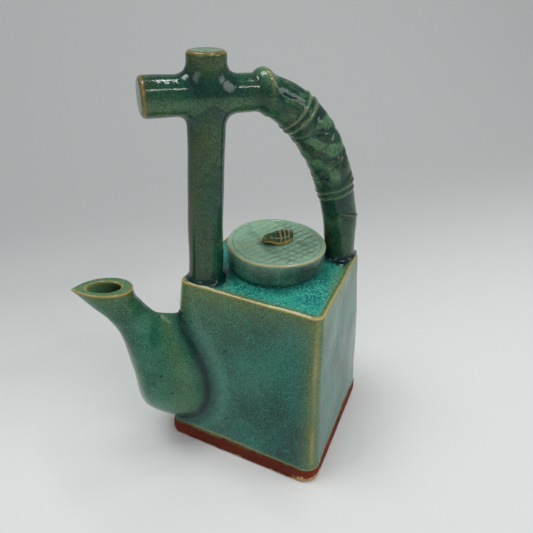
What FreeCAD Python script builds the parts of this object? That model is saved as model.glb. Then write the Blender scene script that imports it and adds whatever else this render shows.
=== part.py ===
"""Slab-built ceramic sake ewer with a corner spout, a log-and-bamboo handle and a lift-off lid.

Millimetres. +Z is up and the origin is the centre of the flat base. The plan is a square set
corner-on, so its corners lie on the X and Y axes. The spout leaves the -X corner, and the
handle stands in the Y = 0 plane from the -X corner to the +X corner.
"""
import FreeCAD, Part
import math
import os

Vec = FreeCAD.Vector

# Body: a four-walled box that narrows towards the top.
BASE_SIDE = 88.0            # plan side at the table
TOP_SIDE = 71.5             # plan side at the top face
BODY_HEIGHT = 99.0          # table to top face
BASE_THICKNESS = 11.0       # the unglazed base slab
WALL = 5.5                  # wall slabs
TOP_THICKNESS = 6.0         # top slab
BASE_CORNER_RADIUS = 8.0
TOP_CORNER_RADIUS = 5.0
BASE_EDGE_RADIUS = 2.5      # soft edge that meets the table
TOP_EDGE_RADIUS = 1.8       # soft edge round the top face
INNER_CORNER_RADIUS = 1.5
SEAM_COIL_SIZE = 4.0        # soft clay coils pressed into the inside seams

# Mouth and lid.
MOUTH_RADIUS = 18.0
COLLAR_WALL = 3.5
COLLAR_DROP = 3.0           # how far the collar hangs below the top slab
COLLAR_RISE = 1.0           # how far it stands above the top face
LID_CENTRE_X = -0.5
LID_OVERHANG = 3.2          # how far the lid reaches past the collar
LID_HEIGHT = 12.0
LID_TOP_THICKNESS = 5.0
LID_SEAT_GAP = 0.3          # running gap between the lid and the collar
LID_EDGE_RADIUS = 0.8
FLANGE_GAP = 0.6            # radial gap between the flange and the collar
FLANGE_WALL = 3.5
FLANGE_DEPTH = 6.5          # how far the flange hangs into the mouth

# Leaf knob on the lid.
KNOB_LENGTH = 18.0
KNOB_WIDTH = 9.5
KNOB_HEIGHT = 4.6
KNOB_TIP_GAP = 1.3          # the free tip of the leaf stands clear of the lid
KNOB_FOOT_SHARE = 0.62      # share of the leaf that is stuck to the lid
BAND_COUNT = 3
BAND_WIDTH = 1.1
BAND_PITCH = 2.3
BAND_PROUD = 0.5
BAND_SLANT = 28.0           # degrees

# Spout: egg-shaped sections that turn from the corner up to the lip.
SPOUT_WALL = 3.2
SPOUT_BOTTOM = 10.5         # lowest point of the bulb
SPOUT_ROOT_DROP = 19.0      # below the top face, where the spout's upper line meets the corner
LIP_REACH = 48.0            # how far the lip's tip stands out from the corner at the root
LIP_RISE = 5.5              # lip's tip above the top face, so that the full body doesn't spill
LIP_SLOPE = 7.0             # degrees that the lip rises towards its tip
POUR_HOLE_RADIUS = 9.0
POUR_HOLE_HEIGHT = 38.0
SPOUT_COIL_SIZE = 1.6       # coil smoothed round the joint of spout and walls
OVAL = 0.5523               # handle length of a Bezier quarter oval
POINT = 0.2                 # handle length towards a pointed end

# Handle: a post, a crossbar and a short finial like crossed logs, then a bamboo arch.
POST_RADIUS = 8.1
CROSSBAR_RADIUS = 8.3
POST_INSET = 13.4           # post's centre from the top face's sharp corner
POST_LEAN = 2.0             # degrees, towards the middle
CROSSBAR_RISE = 84.5        # its axis above the top face
CROSSBAR_OVERHANG = 23.8    # how far it reaches past the post's foot, over the spout
LOG_END_RADIUS = 1.5
FINIAL_RISE = 17.0          # its top above the crossbar's axis, the tallest point
FINIAL_FOOT_RADIUS = 8.0
FINIAL_TOP_RADIUS = 7.6
ARCH_START = 24.2           # where the stem begins, from the post's foot
ARCH_INSET = 14.3           # stem's centre from the top face's sharp corner
ARCH_ROUNDNESS = 1.75       # exponent of the superellipse that the arch follows
ARCH_TOP_RADIUS = 9.9
ARCH_FOOT_RADIUS = 8.0
ARCH_STATIONS = 13
RING_SIZE = 0.95            # raised bamboo rings
BASE_COIL_SIZE = 2.6        # coils smoothed round the feet of the post and the arch
COIL_GAP = 0.1

TO_CENTRE_PLANE = 45.0      # the square is turned so that its corners meet the axes
EPS = 0.01


def side_at(z):
    """Plan side of the body at height z."""
    return BASE_SIDE + (TOP_SIDE - BASE_SIDE) * z / BODY_HEIGHT


def corner_radius_at(z):
    return BASE_CORNER_RADIUS + (TOP_CORNER_RADIUS - BASE_CORNER_RADIUS) * z / BODY_HEIGHT


def corner_x_at(z):
    """Distance from the axis to the rounded corner at height z."""
    radius = corner_radius_at(z)
    return side_at(z) / math.sqrt(2) - radius * (math.sqrt(2) - 1)


def rounded_square(side, radius, z):
    """Closed wire of a square with round corners, its corners on the X and Y axes."""
    half = side / 2
    edges = []
    for quarter in range(4):
        turn = FreeCAD.Rotation(Vec(0, 0, 1), 90 * quarter + TO_CENTRE_PLANE)
        centre = Vec(half - radius, half - radius, z)
        start = Vec(half, half - radius, z)
        middle = centre + Vec(radius, radius, 0) * math.sqrt(0.5)
        end = Vec(half - radius, half, z)
        following = Vec(-(half - radius), half, z)
        arc = Part.Arc(*[turn.multVec(p) for p in (start, middle, end)])
        edges.append(arc.toShape())
        edges.append(Part.makeLine(turn.multVec(end), turn.multVec(following)))
    return Part.Wire(edges)


def body_block(low, high, inset=0.0):
    """Solid of the body's outline from one height to another, its sides moved in by inset."""
    wires = []
    for z in (low, high):
        radius = max(corner_radius_at(z) - inset, INNER_CORNER_RADIUS)
        wires.append(rounded_square(side_at(z) - 2 * inset, radius, z))
    return Part.makeLoft(wires, True, True)


def edges_at_height(shape, z):
    return [e for e in shape.Edges if abs(e.BoundBox.ZMin - z) < EPS and abs(e.BoundBox.ZMax - z) < EPS]


def outer_edges_at(shape, z, beyond):
    """Edges at height z whose middle lies further than beyond from the axis."""
    found = []
    for edge in edges_at_height(shape, z):
        middle = edge.valueAt((edge.FirstParameter + edge.LastParameter) / 2)
        if math.hypot(middle.x, middle.y) > beyond:
            found.append(edge)
    return found


def tube(outer, inner, low, high, x=0.0):
    centre = Vec(x, 0, low)
    return Part.makeCylinder(outer, high - low, centre).cut(Part.makeCylinder(inner, high - low, centre))


# ---- body -------------------------------------------------------------------------------

WALL_TOP = BODY_HEIGHT - TOP_THICKNESS
COLLAR_RADIUS = MOUTH_RADIUS + COLLAR_WALL
COLLAR_TOP = BODY_HEIGHT + COLLAR_RISE
TOP_CORNER_X = TOP_SIDE / math.sqrt(2)


def base_slab():
    slab = body_block(0, BASE_THICKNESS)
    return slab.makeFillet(BASE_EDGE_RADIUS, edges_at_height(slab, 0))


def cavity():
    return body_block(BASE_THICKNESS, WALL_TOP, WALL)


def pour_hole():
    length = BASE_SIDE / 2
    start = Vec(-BASE_SIDE, 0, POUR_HOLE_HEIGHT)
    return Part.makeCylinder(POUR_HOLE_RADIUS, BASE_SIDE - length / 2, start, Vec(1, 0, 0))


def wall_slabs():
    """Four slabs that meet in mitres at the corners, named as seen by the person who pours."""
    shell = body_block(BASE_THICKNESS, WALL_TOP).cut(cavity()).cut(pour_hole())
    reach = BASE_SIDE
    height = WALL_TOP - BASE_THICKNESS
    corners = {"wall_spout_left": (-reach, -reach), "wall_back_left": (0, -reach),
               "wall_back_right": (0, 0), "wall_spout_right": (-reach, 0)}
    walls = {}
    for name, (x, y) in corners.items():
        walls[name] = shell.common(Part.makeBox(reach, reach, height, Vec(x, y, BASE_THICKNESS)))
    return walls


def top_slab():
    slab = body_block(WALL_TOP, BODY_HEIGHT)
    slab = slab.makeFillet(TOP_EDGE_RADIUS, edges_at_height(slab, BODY_HEIGHT))
    hole = Part.makeCylinder(COLLAR_RADIUS, TOP_THICKNESS, Vec(LID_CENTRE_X, 0, WALL_TOP))
    return slab.cut(hole)


def mouth_collar():
    ring = tube(COLLAR_RADIUS, MOUTH_RADIUS, WALL_TOP - COLLAR_DROP, COLLAR_TOP, LID_CENTRE_X)
    return ring.makeFillet(COLLAR_RISE / 2, edges_at_height(ring, COLLAR_TOP))


def floor_seam_coil():
    """Quarter-section coil that runs round the floor against the walls."""
    low, high = BASE_THICKNESS, BASE_THICKNESS + SEAM_COIL_SIZE
    wide = rounded_square(side_at(low) - 2 * WALL - 2 * SEAM_COIL_SIZE, INNER_CORNER_RADIUS, low)
    narrow = rounded_square(side_at(high) - 2 * WALL, INNER_CORNER_RADIUS, high)
    return body_block(low, high, WALL).cut(Part.makeLoft([wide, narrow], True, True))


def wall_seam_coils():
    """One coil up each inside corner, stopped where the pour hole needs the room."""
    low = BASE_THICKNESS + SEAM_COIL_SIZE
    reach = side_at(low) / math.sqrt(2)
    coils = []
    for quarter in range(4):
        z = POUR_HOLE_HEIGHT + POUR_HOLE_RADIUS + SEAM_COIL_SIZE if quarter == 2 else low
        turn = FreeCAD.Rotation(Vec(0, 0, 1), 90 * quarter)
        profiles = []
        for height in (z, WALL_TOP):
            inner = side_at(height) / math.sqrt(2) - WALL * math.sqrt(2) - SEAM_COIL_SIZE
            points = [Vec(inner, -reach, height), Vec(reach + inner, -reach, height),
                      Vec(reach + inner, reach, height), Vec(inner, reach, height)]
            points = [turn.multVec(p) for p in points]
            profiles.append(Part.makePolygon(points + points[:1]))
        coils.append(cavity().common(Part.makeLoft(profiles, True, True)))
    return Part.makeCompound(coils)


# ---- spout ------------------------------------------------------------------------------

SPOUT_ROOT_HEIGHT = BODY_HEIGHT - SPOUT_ROOT_DROP
LIP_TIP_X = -corner_x_at(SPOUT_ROOT_HEIGHT) - LIP_REACH
LIP_TIP_HEIGHT = BODY_HEIGHT + LIP_RISE


def egg_half(upper, lower, half_width, waist, round_top, round_bottom, inset, side):
    """Half of an egg-shaped section: two curved quarters that meet at its widest place.

    The waist is where the section is widest, from 0 at its lower end to 1 at its upper end.
    An end's roundness runs from 0 for a point to 1 for a quarter oval.
    """
    up = Vec(upper - lower).normalize()
    top = upper - up * inset
    bottom = lower + up * inset
    out = Vec(0, side * (half_width - inset), 0)
    middle = bottom + (top - bottom) * waist
    after_top = top + out * (OVAL * round_top) + (middle - top) * (POINT * (1 - round_top))
    before_bottom = bottom + out * (OVAL * round_bottom) + (middle - bottom) * (POINT * (1 - round_bottom))
    poles = [top, after_top, middle + (top - middle) * OVAL + out, middle + out,
             middle + (bottom - middle) * OVAL + out, before_bottom, bottom]
    curve = Part.BSplineCurve()
    curve.buildFromPolesMultsKnots(poles, [4, 3, 4], [0.0, 0.5, 1.0], False, 3)
    return curve.toShape()


def spout_sections():
    """Upper point, lower point, half width, waist and the two roundnesses of each section.

    They run from the root, inside the body, to just past the lip. The lower points that
    lie between the root and the lip are placed by their share of that height.
    """
    root = -corner_x_at(SPOUT_ROOT_HEIGHT)
    foot = -corner_x_at(SPOUT_BOTTOM)
    lip = LIP_TIP_X
    low = SPOUT_BOTTOM
    high = LIP_TIP_HEIGHT
    rise = high - low
    top = SPOUT_ROOT_HEIGHT
    return [
        (Vec(root + 16.0, 0, top), Vec(foot + 18.0, 0, low - 1.5), 15.5, 0.36, 0.0, 0.5),
        (Vec(root + 2.0, 0, top), Vec(foot + 4.0, 0, low - 1.0), 15.5, 0.36, 0.0, 0.5),
        (Vec(root - 10.0, 0, top + 2.3), Vec(foot - 15.0, 0, low + 0.17 * rise), 14.8, 0.38, 0.5, 0.8),
        (Vec(root - 14.7, 0, top + 6.3), Vec(lip + 21.9, 0, low + 0.44 * rise), 12.6, 0.42, 0.9, 1.0),
        (Vec(root - 17.7, 0, top + 10.8), Vec(lip + 18.8, 0, low + 0.675 * rise), 9.7, 0.46, 1.0, 1.0),
        (Vec(lip + 28.1, 0, high - 9.5), Vec(lip + 13.9, 0, low + 0.8 * rise), 8.4, 0.5, 1.0, 1.0),
        (Vec(lip + 27.2, 0, high - 5.0), Vec(lip + 6.9, 0, low + 0.89 * rise), 8.2, 0.55, 1.0, 0.7),
        (Vec(lip + 27.6, 0, high - 1.0), Vec(lip - 1.5, 0, high + 2.5), 8.3, 0.6, 1.0, 0.4),
    ]


def spout_loft(inset):
    """Solid through the spout's sections, each moved in by inset: two half skins and an end at each side."""
    sections = spout_sections()
    faces = []
    for side in (1, -1):
        halves = [Part.Wire([egg_half(*section, inset, side)]) for section in sections]
        faces += Part.makeLoft(halves, False, False).Faces
    for section in (sections[0], sections[-1]):
        faces.append(Part.Face(Part.Wire([egg_half(*section, inset, side) for side in (1, -1)])))
    skin = Part.Shell(faces)
    skin.sewShape()
    solid = Part.Solid(skin)
    if solid.Volume < 0:
        solid.reverse()
    return solid


def above_lip():
    """Everything above the sloping plane of the lip."""
    size = -2 * LIP_TIP_X
    block = Part.makeBox(size, size, size, Vec(-size / 2, -size / 2, 0))
    block.rotate(Vec(0, 0, 0), Vec(0, 1, 0), LIP_SLOPE)
    block.translate(Vec(LIP_TIP_X, 0, LIP_TIP_HEIGHT))
    return block


def whole_block():
    return body_block(0, BODY_HEIGHT)


def spout():
    outside = spout_loft(0).cut(whole_block()).cut(above_lip())
    return outside.cut(spout_loft(SPOUT_WALL))


def spout_seam_coil():
    """A thin coil in the angle between the spout and the walls."""
    near_wall = body_block(0, BODY_HEIGHT, -SPOUT_COIL_SIZE).cut(whole_block())
    return near_wall.common(spout_loft(-SPOUT_COIL_SIZE)).cut(spout_loft(0))


# ---- handle -----------------------------------------------------------------------------

POST_FOOT_X = POST_INSET - TOP_CORNER_X
CROSSBAR_HEIGHT = BODY_HEIGHT + CROSSBAR_RISE
CROSSBAR_LEFT_X = POST_FOOT_X - CROSSBAR_OVERHANG
FINIAL_HEIGHT = CROSSBAR_HEIGHT + FINIAL_RISE
ARCH_START_X = POST_FOOT_X + ARCH_START
ARCH_FOOT_X = TOP_CORNER_X - ARCH_INSET


def post_x_at(z):
    return POST_FOOT_X + math.tan(math.radians(POST_LEAN)) * (z - BODY_HEIGHT)


def handle_crossbar():
    start = Vec(CROSSBAR_LEFT_X, 0, CROSSBAR_HEIGHT)
    bar = Part.makeCylinder(CROSSBAR_RADIUS, ARCH_START_X - CROSSBAR_LEFT_X, start, Vec(1, 0, 0))
    end = [e for e in bar.Edges if e.BoundBox.XMax < CROSSBAR_LEFT_X + EPS]
    return bar.makeFillet(LOG_END_RADIUS, end)


def handle_post(crossbar):
    start = Vec(post_x_at(WALL_TOP), 0, WALL_TOP)
    end = Vec(post_x_at(CROSSBAR_HEIGHT), 0, CROSSBAR_HEIGHT)
    post = Part.makeCylinder(POST_RADIUS, (end - start).Length, start, end - start)
    return post.cut(whole_block()).cut(crossbar)


def post_finial(crossbar):
    foot = Vec(post_x_at(CROSSBAR_HEIGHT), 0, CROSSBAR_HEIGHT)
    stub = Part.makeCone(FINIAL_FOOT_RADIUS, FINIAL_TOP_RADIUS, FINIAL_RISE, foot)
    stub = stub.makeFillet(LOG_END_RADIUS, edges_at_height(stub, FINIAL_HEIGHT))
    return stub.cut(crossbar)


def arch_point(t):
    """Point of the superellipse at t, 0 at the crossbar and 1 at the foot."""
    power = 2 / ARCH_ROUNDNESS
    angle = t * math.pi / 2
    across = (ARCH_FOOT_X - ARCH_START_X) * math.sin(angle) ** power
    rise = (CROSSBAR_HEIGHT - BODY_HEIGHT) * max(math.cos(angle), 0) ** power
    return Vec(ARCH_START_X + across, 0, BODY_HEIGHT + rise)


def arch_direction(t):
    step = 1e-4
    low, high = max(t - step, 0), min(t + step, 1)
    return (arch_point(high) - arch_point(low)).normalize()


def arch_radius(t):
    """The bamboo swells just past the crossbar and thins towards its foot."""
    swell = math.sin(math.pi * min(t / 0.5, 1.0) / 2)
    thin = max(t - 0.35, 0) / 0.65
    thin = thin * thin * (3 - 2 * thin)
    widest = CROSSBAR_RADIUS + (ARCH_TOP_RADIUS - CROSSBAR_RADIUS) * swell
    return widest - (ARCH_TOP_RADIUS - ARCH_FOOT_RADIUS) * thin


def bamboo_arch():
    wires = []
    for i in range(ARCH_STATIONS):
        t = i / (ARCH_STATIONS - 1)
        wires.append(Part.Wire([Part.makeCircle(arch_radius(t), arch_point(t), arch_direction(t))]))
    return Part.makeLoft(wires, True, False)


RINGS = {                   # (place along the arch, tilt in degrees) of each raised ring
    "arch_joint_ring": [(0.10, 0.0)],
    "arch_upper_rings": [(0.30, 0.0), (0.345, 0.0)],
    "arch_lower_rings": [(0.695, 0.0), (0.72, 0.0)],
    "arch_sheath_ridge": [(0.85, 24.0)],
}


def bamboo_rings(places, arch):
    rings = []
    for t, tilt in places:
        direction = FreeCAD.Rotation(Vec(0, 1, 0), tilt).multVec(arch_direction(t))
        torus = Part.makeTorus(arch_radius(t), RING_SIZE, arch_point(t), direction)
        rings += torus.cut(arch).Solids
    return Part.makeCompound(rings)


def foot_coil(x, radius):
    """Concave coil round the foot of a handle part, kept inside the top face."""
    size = BASE_COIL_SIZE
    inner = radius + COIL_GAP
    low, high = Vec(inner + size, 0, 0), Vec(inner, 0, size)
    bulge = Vec(inner + size, 0, size) - Vec(size, 0, size) * math.sqrt(0.5)
    outline = [Part.makeLine(Vec(inner, 0, 0), low), Part.Arc(low, bulge, high).toShape(),
               Part.makeLine(high, Vec(inner, 0, 0))]
    coil = Part.Face(Part.Wire(outline)).revolve(Vec(0, 0, 0), Vec(0, 0, 1), 360)
    coil.translate(Vec(x, 0, BODY_HEIGHT))
    flat = rounded_square(TOP_SIDE - 2 * TOP_EDGE_RADIUS, TOP_CORNER_RADIUS, BODY_HEIGHT)
    return coil.common(Part.Face(flat).extrude(Vec(0, 0, 2 * size)))


# ---- lid --------------------------------------------------------------------------------

LID_RADIUS = COLLAR_RADIUS + LID_OVERHANG
LID_BOTTOM = COLLAR_TOP + LID_SEAT_GAP
LID_TOP = LID_BOTTOM + LID_HEIGHT
FLANGE_RADIUS = MOUTH_RADIUS - FLANGE_GAP


def lid_drum():
    drum = Part.makeCylinder(LID_RADIUS, LID_HEIGHT, Vec(LID_CENTRE_X, 0, LID_BOTTOM))
    rims = edges_at_height(drum, LID_TOP) + edges_at_height(drum, LID_BOTTOM)
    drum = drum.makeFillet(LID_EDGE_RADIUS, rims)
    hollow = LID_HEIGHT - LID_TOP_THICKNESS
    return drum.cut(Part.makeCylinder(FLANGE_RADIUS, hollow, Vec(LID_CENTRE_X, 0, LID_BOTTOM)))


def lid_flange():
    low = COLLAR_TOP - FLANGE_DEPTH
    ring = tube(FLANGE_RADIUS, FLANGE_RADIUS - FLANGE_WALL, low, LID_TOP - LID_TOP_THICKNESS, LID_CENTRE_X)
    return ring.makeFillet(LID_EDGE_RADIUS, edges_at_height(ring, low))


def ellipsoid(length, width, height):
    ball = Part.makeSphere(1.0)
    stretch = FreeCAD.Matrix()
    stretch.A11, stretch.A22, stretch.A33 = length / 2, width / 2, height
    return ball.transformGeometry(stretch)


def knob_dome(grow):
    """Upper half of the leaf, its outside moved out by grow."""
    dome = ellipsoid(KNOB_LENGTH + 2 * grow, KNOB_WIDTH + 2 * grow, KNOB_HEIGHT + grow)
    room = KNOB_LENGTH
    dome = dome.common(Part.makeBox(2 * room, 2 * room, room, Vec(-room, -room, 0)))
    dome.translate(Vec(LID_CENTRE_X, 0, LID_TOP))
    return dome


def knob_leaf():
    """A leaf whose right part is stuck to the lid and whose left tip stands clear."""
    foot_length = KNOB_LENGTH * KNOB_FOOT_SHARE
    edge = LID_CENTRE_X + KNOB_LENGTH / 2 - foot_length
    room = KNOB_LENGTH
    gap = Part.makeBox(room, 2 * room, KNOB_TIP_GAP, Vec(edge - room, -room, LID_TOP))
    return knob_dome(0).cut(gap)


def knob_bands():
    """Narrow slanting bands that wrap over the stuck half of the leaf."""
    skin = knob_dome(BAND_PROUD).cut(knob_dome(0))
    room = KNOB_LENGTH
    bands = []
    for i in range(BAND_COUNT):
        slab = Part.makeBox(BAND_WIDTH, 2 * room, room, Vec(-BAND_WIDTH / 2, -room, -EPS))
        slab.rotate(Vec(0, 0, 0), Vec(0, 0, 1), BAND_SLANT)
        slab.translate(Vec(LID_CENTRE_X + i * BAND_PITCH, 0, LID_TOP))
        bands += skin.common(slab).Solids
    return Part.makeCompound(bands)


def build():
    """Every node of the ewer by name."""
    crossbar = handle_crossbar()
    arch = bamboo_arch().cut(whole_block())
    nodes = {"base_slab": base_slab(), "top_slab": top_slab(), "mouth_collar": mouth_collar(),
             "floor_seam_coil": floor_seam_coil(), "wall_seam_coils": wall_seam_coils(),
             "spout": spout(), "spout_seam_coil": spout_seam_coil(),
             "handle_crossbar": crossbar, "handle_post": handle_post(crossbar),
             "post_finial": post_finial(crossbar),
             "bamboo_arch": arch,
             "post_foot_coil": foot_coil(POST_FOOT_X, POST_RADIUS),
             "arch_foot_coil": foot_coil(ARCH_FOOT_X, ARCH_FOOT_RADIUS),
             "lid_drum": lid_drum(), "lid_flange": lid_flange(),
             "knob_leaf": knob_leaf(), "knob_bands": knob_bands()}
    nodes.update(wall_slabs())
    for name, places in RINGS.items():
        nodes[name] = bamboo_rings(places, arch)
    return nodes


def main():
    os.makedirs("parts", exist_ok=True)
    for name, shape in build().items():
        solids = shape.Solids
        good = all(s.isValid() and s.Volume > 0 for s in solids) and len(solids) > 0
        print(f"{name:20s} solids {len(solids)}  volume {shape.Volume:10.1f}  valid {good}")
        shape.exportStep(os.path.join("parts", name + ".step"))


main()
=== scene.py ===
import math

import bpy
import numpy as np
from mathutils import Matrix, Vector


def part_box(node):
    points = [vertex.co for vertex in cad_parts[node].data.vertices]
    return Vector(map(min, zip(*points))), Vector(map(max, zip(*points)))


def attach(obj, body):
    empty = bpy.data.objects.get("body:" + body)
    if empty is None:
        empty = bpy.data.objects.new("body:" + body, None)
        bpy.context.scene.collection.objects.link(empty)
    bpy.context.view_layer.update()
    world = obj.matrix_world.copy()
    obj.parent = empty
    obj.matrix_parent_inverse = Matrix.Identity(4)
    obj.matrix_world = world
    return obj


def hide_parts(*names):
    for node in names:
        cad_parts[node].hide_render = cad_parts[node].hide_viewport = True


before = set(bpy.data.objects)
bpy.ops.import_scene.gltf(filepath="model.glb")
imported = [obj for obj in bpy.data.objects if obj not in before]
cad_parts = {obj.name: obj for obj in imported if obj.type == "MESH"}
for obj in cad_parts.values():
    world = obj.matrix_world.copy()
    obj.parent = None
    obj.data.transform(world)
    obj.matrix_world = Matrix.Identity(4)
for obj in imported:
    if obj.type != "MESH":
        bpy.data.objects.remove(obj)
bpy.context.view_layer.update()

bl_info = {
    "name": "Slab-built sake ewer",
    "version": (1, 0, 0),
    "blender": (4, 5, 0),
    "location": "3D View > Sidebar > Ewer",
    "description": "Glazed square ewer with a horn spout, a log and bamboo handle and a scored lid",
    "category": "Add Mesh",
}

MM = 0.001
TAU = 2 * math.pi
TO_AXES = math.radians(45)      # the square's corners lie on the axes


def box_mm(node):
    """Lowest and highest corner of a CAD node, in millimetres."""
    return [np.array(corner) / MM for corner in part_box(node)]


def paint(code):
    """Linear colour of a six-digit colour code."""
    parts = [int(code[i:i + 2], 16) / 255 for i in (0, 2, 4)]
    return [p / 12.92 if p <= 0.04045 else ((p + 0.055) / 1.055) ** 2.4 for p in parts]


# ---- sizes that come from the CAD model, in millimetres ---------------------------------

BASE = box_mm("base_slab")
TOP = box_mm("top_slab")
COLLAR = box_mm("mouth_collar")
POST = box_mm("handle_post")
BAR = box_mm("handle_crossbar")
FINIAL = box_mm("post_finial")
ARCH = box_mm("bamboo_arch")
SPOUT = box_mm("spout")
LID = box_mm("lid_drum")
FLANGE = box_mm("lid_flange")
KNOB = box_mm("knob_leaf")

BASE_CORNER, TOP_CORNER = 8.0, 5.0      # radius of the upright corners below and above
CORNER_CUT = math.sqrt(2) - 1           # share of it that rounding takes off the diagonal
BASE_TOP = BASE[1][2]
TOP_FACE = TOP[1][2]
BASE_SIDE = (BASE[1][0] + BASE_CORNER * CORNER_CUT) * math.sqrt(2)
TAPER = (BASE_SIDE - (TOP[1][0] + (TOP_CORNER + 0.2) * CORNER_CUT) * math.sqrt(2)) / TOP[0][2]
POST_RADIUS = (POST[1][1] - POST[0][1]) / 2
BAR_RADIUS = (BAR[1][2] - BAR[0][2]) / 2
BAR_AXIS = (BAR[1][2] + BAR[0][2]) / 2
POST_FOOT_X = POST[0][0] + POST_RADIUS
FINIAL_X = (FINIAL[0][0] + FINIAL[1][0]) / 2
FINIAL_RADIUS = (FINIAL[1][1] - FINIAL[0][1]) / 2
ARCH_START_X = BAR[1][0]
ARCH_FOOT_RADIUS, ARCH_TOP_RADIUS = 8.0, 9.9
ARCH_FOOT_X = ARCH[1][0] - ARCH_FOOT_RADIUS
LID_RADIUS = (LID[1][0] - LID[0][0]) / 2
LID_X = (LID[1][0] + LID[0][0]) / 2
COLLAR_RADIUS = (COLLAR[1][0] - COLLAR[0][0]) / 2
FLANGE_RADIUS = (FLANGE[1][0] - FLANGE[0][0]) / 2
MOUTH_RADIUS = FLANGE_RADIUS + 0.6      # the flange has this much play
LIP_X = SPOUT[0][0] + 0.8
LIP_Z = TOP_FACE + 5.5
LIP_SLOPE = math.tan(math.radians(7))


def length(name, description, default, low, high):
    """A length property with its limits, in metres."""
    return bpy.props.FloatProperty(name=name, description=description, default=default,
                                   min=low, max=high, unit="LENGTH")


def colour(name, description, code):
    """A colour property of the palette."""
    return bpy.props.FloatVectorProperty(name=name, description=description, default=paint(code),
                                         size=3, min=0, max=1, subtype="COLOR")


class EwerSizes(bpy.types.PropertyGroup):
    """Sizes of the clay and glaze details that a potter would change."""
    rim_roll: length("Rim roll", "Radius of the rolled edge round the top face",
                     0.0015, 0.0005, 0.004)
    unevenness: length("Unevenness", "How far the hand-built skin wanders from true",
                       0.0004, 0.0, 0.001)
    blend: length("Joint blend", "Size of the smoothed clay where logs meet",
                  0.0054, 0.001, 0.01)
    foot_blend: length("Foot blend", "Size of the smoothed clay round the feet of the handle",
                       0.0036, 0.001, 0.008)
    seam_blend: length("Seam blend", "Size of the smoothed clay between the spout and the walls",
                       0.0026, 0.0005, 0.005)
    glaze_line: length("Glaze line", "Height at which the glaze stops above the bare foot",
                       0.0094, 0.004, 0.014)
    groove_depth: length("Groove depth", "Depth of the scored lines on the lid",
                         0.0005, 0.0, 0.001)
    groove_pitch: length("Groove pitch", "Distance between the scored lines on the lid",
                         0.0036, 0.001, 0.008)
    ring_height: length("Ring height", "How proud the bamboo rings stand",
                        0.0006, 0.0, 0.002)
    crackle_cell: length("Crackle cell", "Size of the cells between the crackle lines",
                         0.0013, 0.0003, 0.01)


class EwerColours(bpy.types.PropertyGroup):
    """Colours of the glazes and the clay."""
    wall_deep: colour("Wall deep", "Thick glaze on the walls", "053c3c")
    wall_light: colour("Wall light", "Thin glaze on the walls", "1a7060")
    wall_speck: colour("Wall speck", "Fine specks in the walls' glaze", "4c9f8a")
    wall_pale: colour("Wall pale", "Milky patches on the walls", "5c9684")
    wall_tan: colour("Wall tan", "Edges of the walls", "cdb06a")
    top_deep: colour("Top deep", "Thick glaze on the top face", "0b7274")
    top_light: colour("Top light", "Paler specks on the top face", "38a890")
    top_speck: colour("Top speck", "Fine specks on the top face", "66c8ac")
    top_tan: colour("Top tan", "Border of the top face", "c0a868")
    spout_deep: colour("Spout deep", "Thick glaze on the spout", "0f4a3e")
    spout_light: colour("Spout light", "Thin glaze on the spout", "2c7058")
    spout_speck: colour("Spout speck", "Fine specks in the spout's glaze", "5f9f72")
    spout_pale: colour("Spout pale", "Milky patches on the spout", "5a947c")
    handle_deep: colour("Handle deep", "Thick glaze on the handle", "06302a")
    handle_light: colour("Handle light", "Thin glaze on the handle", "1c5a40")
    handle_speck: colour("Handle speck", "Fine specks in the handle's glaze", "47805a")
    handle_line: colour("Handle line", "Crackle lines of the handle", "07241b")
    # Handle thin: olive of thin glaze, and also painted light on the post's lit left side and the
    # crossbar's lower front.
    handle_thin_and_painted_light: colour("Handle thin", "Olive of the handle, where clay warms it", "5c6534")
    # Handle pale: pale leaves, rings and the crossbar's end, and also a painted reflection on the
    # finial's top and the crossbar's lower front.
    handle_pale_and_painted_sheen: colour("Handle pale", "Pale leaves, rings and ends of the handle", "639468")
    handle_tan: colour("Handle tan", "Edges of the handle", "a88246")
    # Lid shade is the lid's darkest colour, which shows on its side under the pale top: painted
    # shade on the side.
    lid_shade: colour("Lid shade", "Thickest glaze on the lid's side", "0b3a38")
    lid_deep: colour("Lid deep", "Thick glaze on the lid", "2f7365")
    lid_light: colour("Lid light", "Thin glaze on the lid", "98c2a4")
    lid_speck: colour("Lid speck", "Fine specks in the lid's glaze", "8fc4a8")
    lid_tan: colour("Lid tan", "Edges of the lid", "d2b27e")
    olive: colour("Olive", "Glaze that is thin enough to let the clay warm it", "77803f")
    tan: colour("Edge tan", "Clay that shows through on the edges", "b8964e")
    # Pool colour: glaze run together in the joints, and also painted shade round the lid's foot,
    # inside the spout, along the lid's lower edge and beside and under the leaf.
    pool: colour("Pool", "Glaze run together in the joints", "001e26")
    iron: colour("Iron", "Dark iron spots in the glaze", "1c140c")
    clay: colour("Clay", "Bare fired clay of the foot", "74270b")
    clay_chip: colour("Clay chip", "Worn places of the bare clay", "c49a6c")
    clay_sand: colour("Clay sand", "Sandy grain of the bare clay", "7c3a22")
    clay_grit: colour("Clay grit", "Pale grit in the bare clay", "c9a27c")
    clay_stain: colour("Clay stain", "Thin stain of glaze on the bare clay", "75764a")
    floor: colour("Floor", "Studio floor near the ewer", "e6e8e6")
    # The backdrop colour is painted shade: the paper far from the lamps, darker towards the back and
    # the left.
    backdrop: colour("Backdrop", "Studio backdrop behind the ewer", "b6b8b7")


# ---- surfaces ---------------------------------------------------------------------------
#
# Lengths of the pieces are millimetres; make_mesh turns them into metres. A piece carries
# masks from 0 to 1 for its glaze: edge where it breaks over an edge, thin where clay warms it
# and where light is painted, pool where it ran together and where shade is painted,
# and pale where it is milky and where a reflection is painted. A mask left out is 0.

def mm(size):
    """A length property in millimetres."""
    return size / MM


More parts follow.
